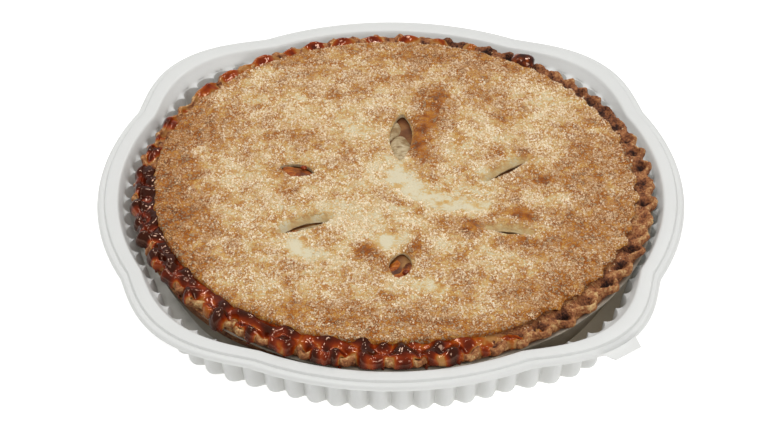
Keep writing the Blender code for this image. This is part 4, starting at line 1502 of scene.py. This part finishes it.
def sugar_wish(x, y):
    """The chance that a crystal stays: clumps, less on bare dough, and some on the rim at the right."""
    angle = np.arctan2(y, x)
    past = (np.hypot(x, y) - lid_radius(angle) + 0.8 * MM) / MM
    right = 1 - climb(np.abs(np.degrees(angle)), 55, 75)
    on_rim = 0.35 * right * (1 - climb(past, 2, 9))
    patches = 0.75 * plan_noise(x, y, 12, 9.9)
    clumps = 0.90 * plan_noise(x, y, 1.8, 3.3) + 0.50 * plan_noise(x, y, 5, 7.3)
    wish = 0.58 + patches + clumps - 2.2 * bare_at(x, y) - 0.6 * spots_at(x, y, TOASTED_SPOTS)
    return np.where(past > 0, on_rim, 1.0) * wish


def throw_sugar(count, seed):
    """Places on the crust where crystals came to lie."""
    draw = np.random.default_rng(seed)
    angle = draw.uniform(0, TURN, 3 * count)
    reach = SUGAR_REACH * np.sqrt(draw.uniform(0, 1, 3 * count))
    x, y = reach * np.cos(angle), reach * np.sin(angle)
    keep = draw.uniform(0, 1, 3 * count) < sugar_wish(x, y)
    x, y = x[keep][:count], y[keep][:count]
    places = []
    for spot_x, spot_y in zip(x.tolist(), y.tolist()):
        hit, normal, _, _ = crust_tree.ray_cast((PIE[0] + spot_x, PIE[1] + spot_y, 0.08), (0, 0, -1))
        if hit is not None and normal.z > 0.45 and hit.z > SUGAR_FLOOR:
            places.append(tuple(hit))
    return np.array(places), draw


# %% Sugar: copying a crystal to every place
def random_turns(count, draw):
    """A random rotation matrix for each crystal."""
    quat = draw.normal(size=(count, 4))
    w, x, y, z = (quat / np.linalg.norm(quat, axis=1, keepdims=True)).T
    rows = ((1 - 2 * (y * y + z * z), 2 * (x * y - z * w), 2 * (x * z + y * w)),
            (2 * (x * y + z * w), 1 - 2 * (x * x + z * z), 2 * (y * z - x * w)),
            (2 * (x * z - y * w), 2 * (y * z + x * w), 1 - 2 * (x * x + y * y)))
    return np.array(rows).transpose(2, 0, 1)


def strew(name, crystal, places, draw, small, large, sink):
    """Copy one crystal to every place, each copy turned and sized at random, as one mesh."""
    corners = points_of(crystal)
    faces = [list(face.vertices) for face in crystal.data.polygons]
    count = len(places)
    size = draw.uniform(small, large, (count, 1, 1)) * draw.uniform(0.7, 1.0, (count, 1, 3))
    turned = np.einsum("nij,nkj->nki", random_turns(count, draw), corners[None] * size)
    lift = size.mean(axis=2, keepdims=True) * (0.5 - sink)
    spread = turned + places[:, None, :] + lift * np.array((0.0, 0.0, 1.0))
    mesh = bpy.data.meshes.new(name)
    rows = [[corner + len(corners) * n for corner in face] for n in range(count) for face in faces]
    mesh.from_pydata(spread.reshape(-1, 3), [], rows)
    piece = bpy.data.objects.new(name, mesh)
    bpy.context.scene.collection.objects.link(piece)
    bpy.data.objects.remove(crystal)
    paint(piece, "bake", np.repeat(bake_at(*from_middle(places)), len(corners)))
    return piece


# %% Sugar: coarse, middling and fine crystals
COARSE_COUNT = 15000
MIDDLING_COUNT = 33000
FINE_COUNT = 50000


def cube_crystal():
    put_down()
    bpy.ops.mesh.primitive_cube_add(size=1.0)
    return name_new("cube_crystal")


def pointed_crystal(corners):
    put_down()
    bpy.ops.mesh.primitive_cone_add(vertices=corners, radius1=0.62, depth=0.9)
    return name_new("pointed_crystal")


places, draw = throw_sugar(COARSE_COUNT, 11)
coarse = strew("coarse_sugar", cube_crystal(), places, draw, 0.55 * MM, 1.00 * MM, 0.35)
places, draw = throw_sugar(MIDDLING_COUNT, 13)
middling = strew("middling_sugar", pointed_crystal(4), places, draw, 0.55 * MM, 0.95 * MM, 0.30)
places, draw = throw_sugar(FINE_COUNT, 12)
fine = strew("fine_sugar", pointed_crystal(3), places, draw, 0.40 * MM, 0.75 * MM, 0.25)
print("crystals of the fine kind:", len(places))

# %% [markdown]
# Sugar that has been through the oven is not pure white: it is warm, and some of it has turned to
# caramel. A noise finer than the crystals gives each one its own tone, and a crystal is browner where
# the crust under it is brown.

# %% Sugar: finish
def sugar_finish(name, clear, toasted):
    finish = Finish(name, Specular_IOR_Level=0.2)
    tone = finish.speckle(0.0012, 1.0)
    patch = finish.speckle(0.006, 2.0)
    share = (0.55 * tone + 0.30 * patch + 0.75 * finish.painted("bake")).between(0.65, 1.16)
    finish.feeds(Base_Color=finish.mix(share, clear, toasted))
    finish.feeds(Roughness=0.30 + 0.25 * tone)
    return finish


coarse_sugar = sugar_finish("coarse_sugar", rgb(0.99, 0.88, 0.69), rgb(0.60, 0.31, 0.10))
middling_sugar = sugar_finish("middling_sugar", rgb(0.92, 0.76, 0.50), rgb(0.52, 0.235, 0.060))
fine_sugar = sugar_finish("fine_sugar", rgb(0.86, 0.65, 0.37), rgb(0.46, 0.185, 0.038))
for piece, finish in ((coarse, coarse_sugar), (middling, middling_sugar), (fine, fine_sugar)):
    piece.data.materials.append(finish.material)
    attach(piece, "root")
    print(piece.name, len(piece.data.polygons), "faces")
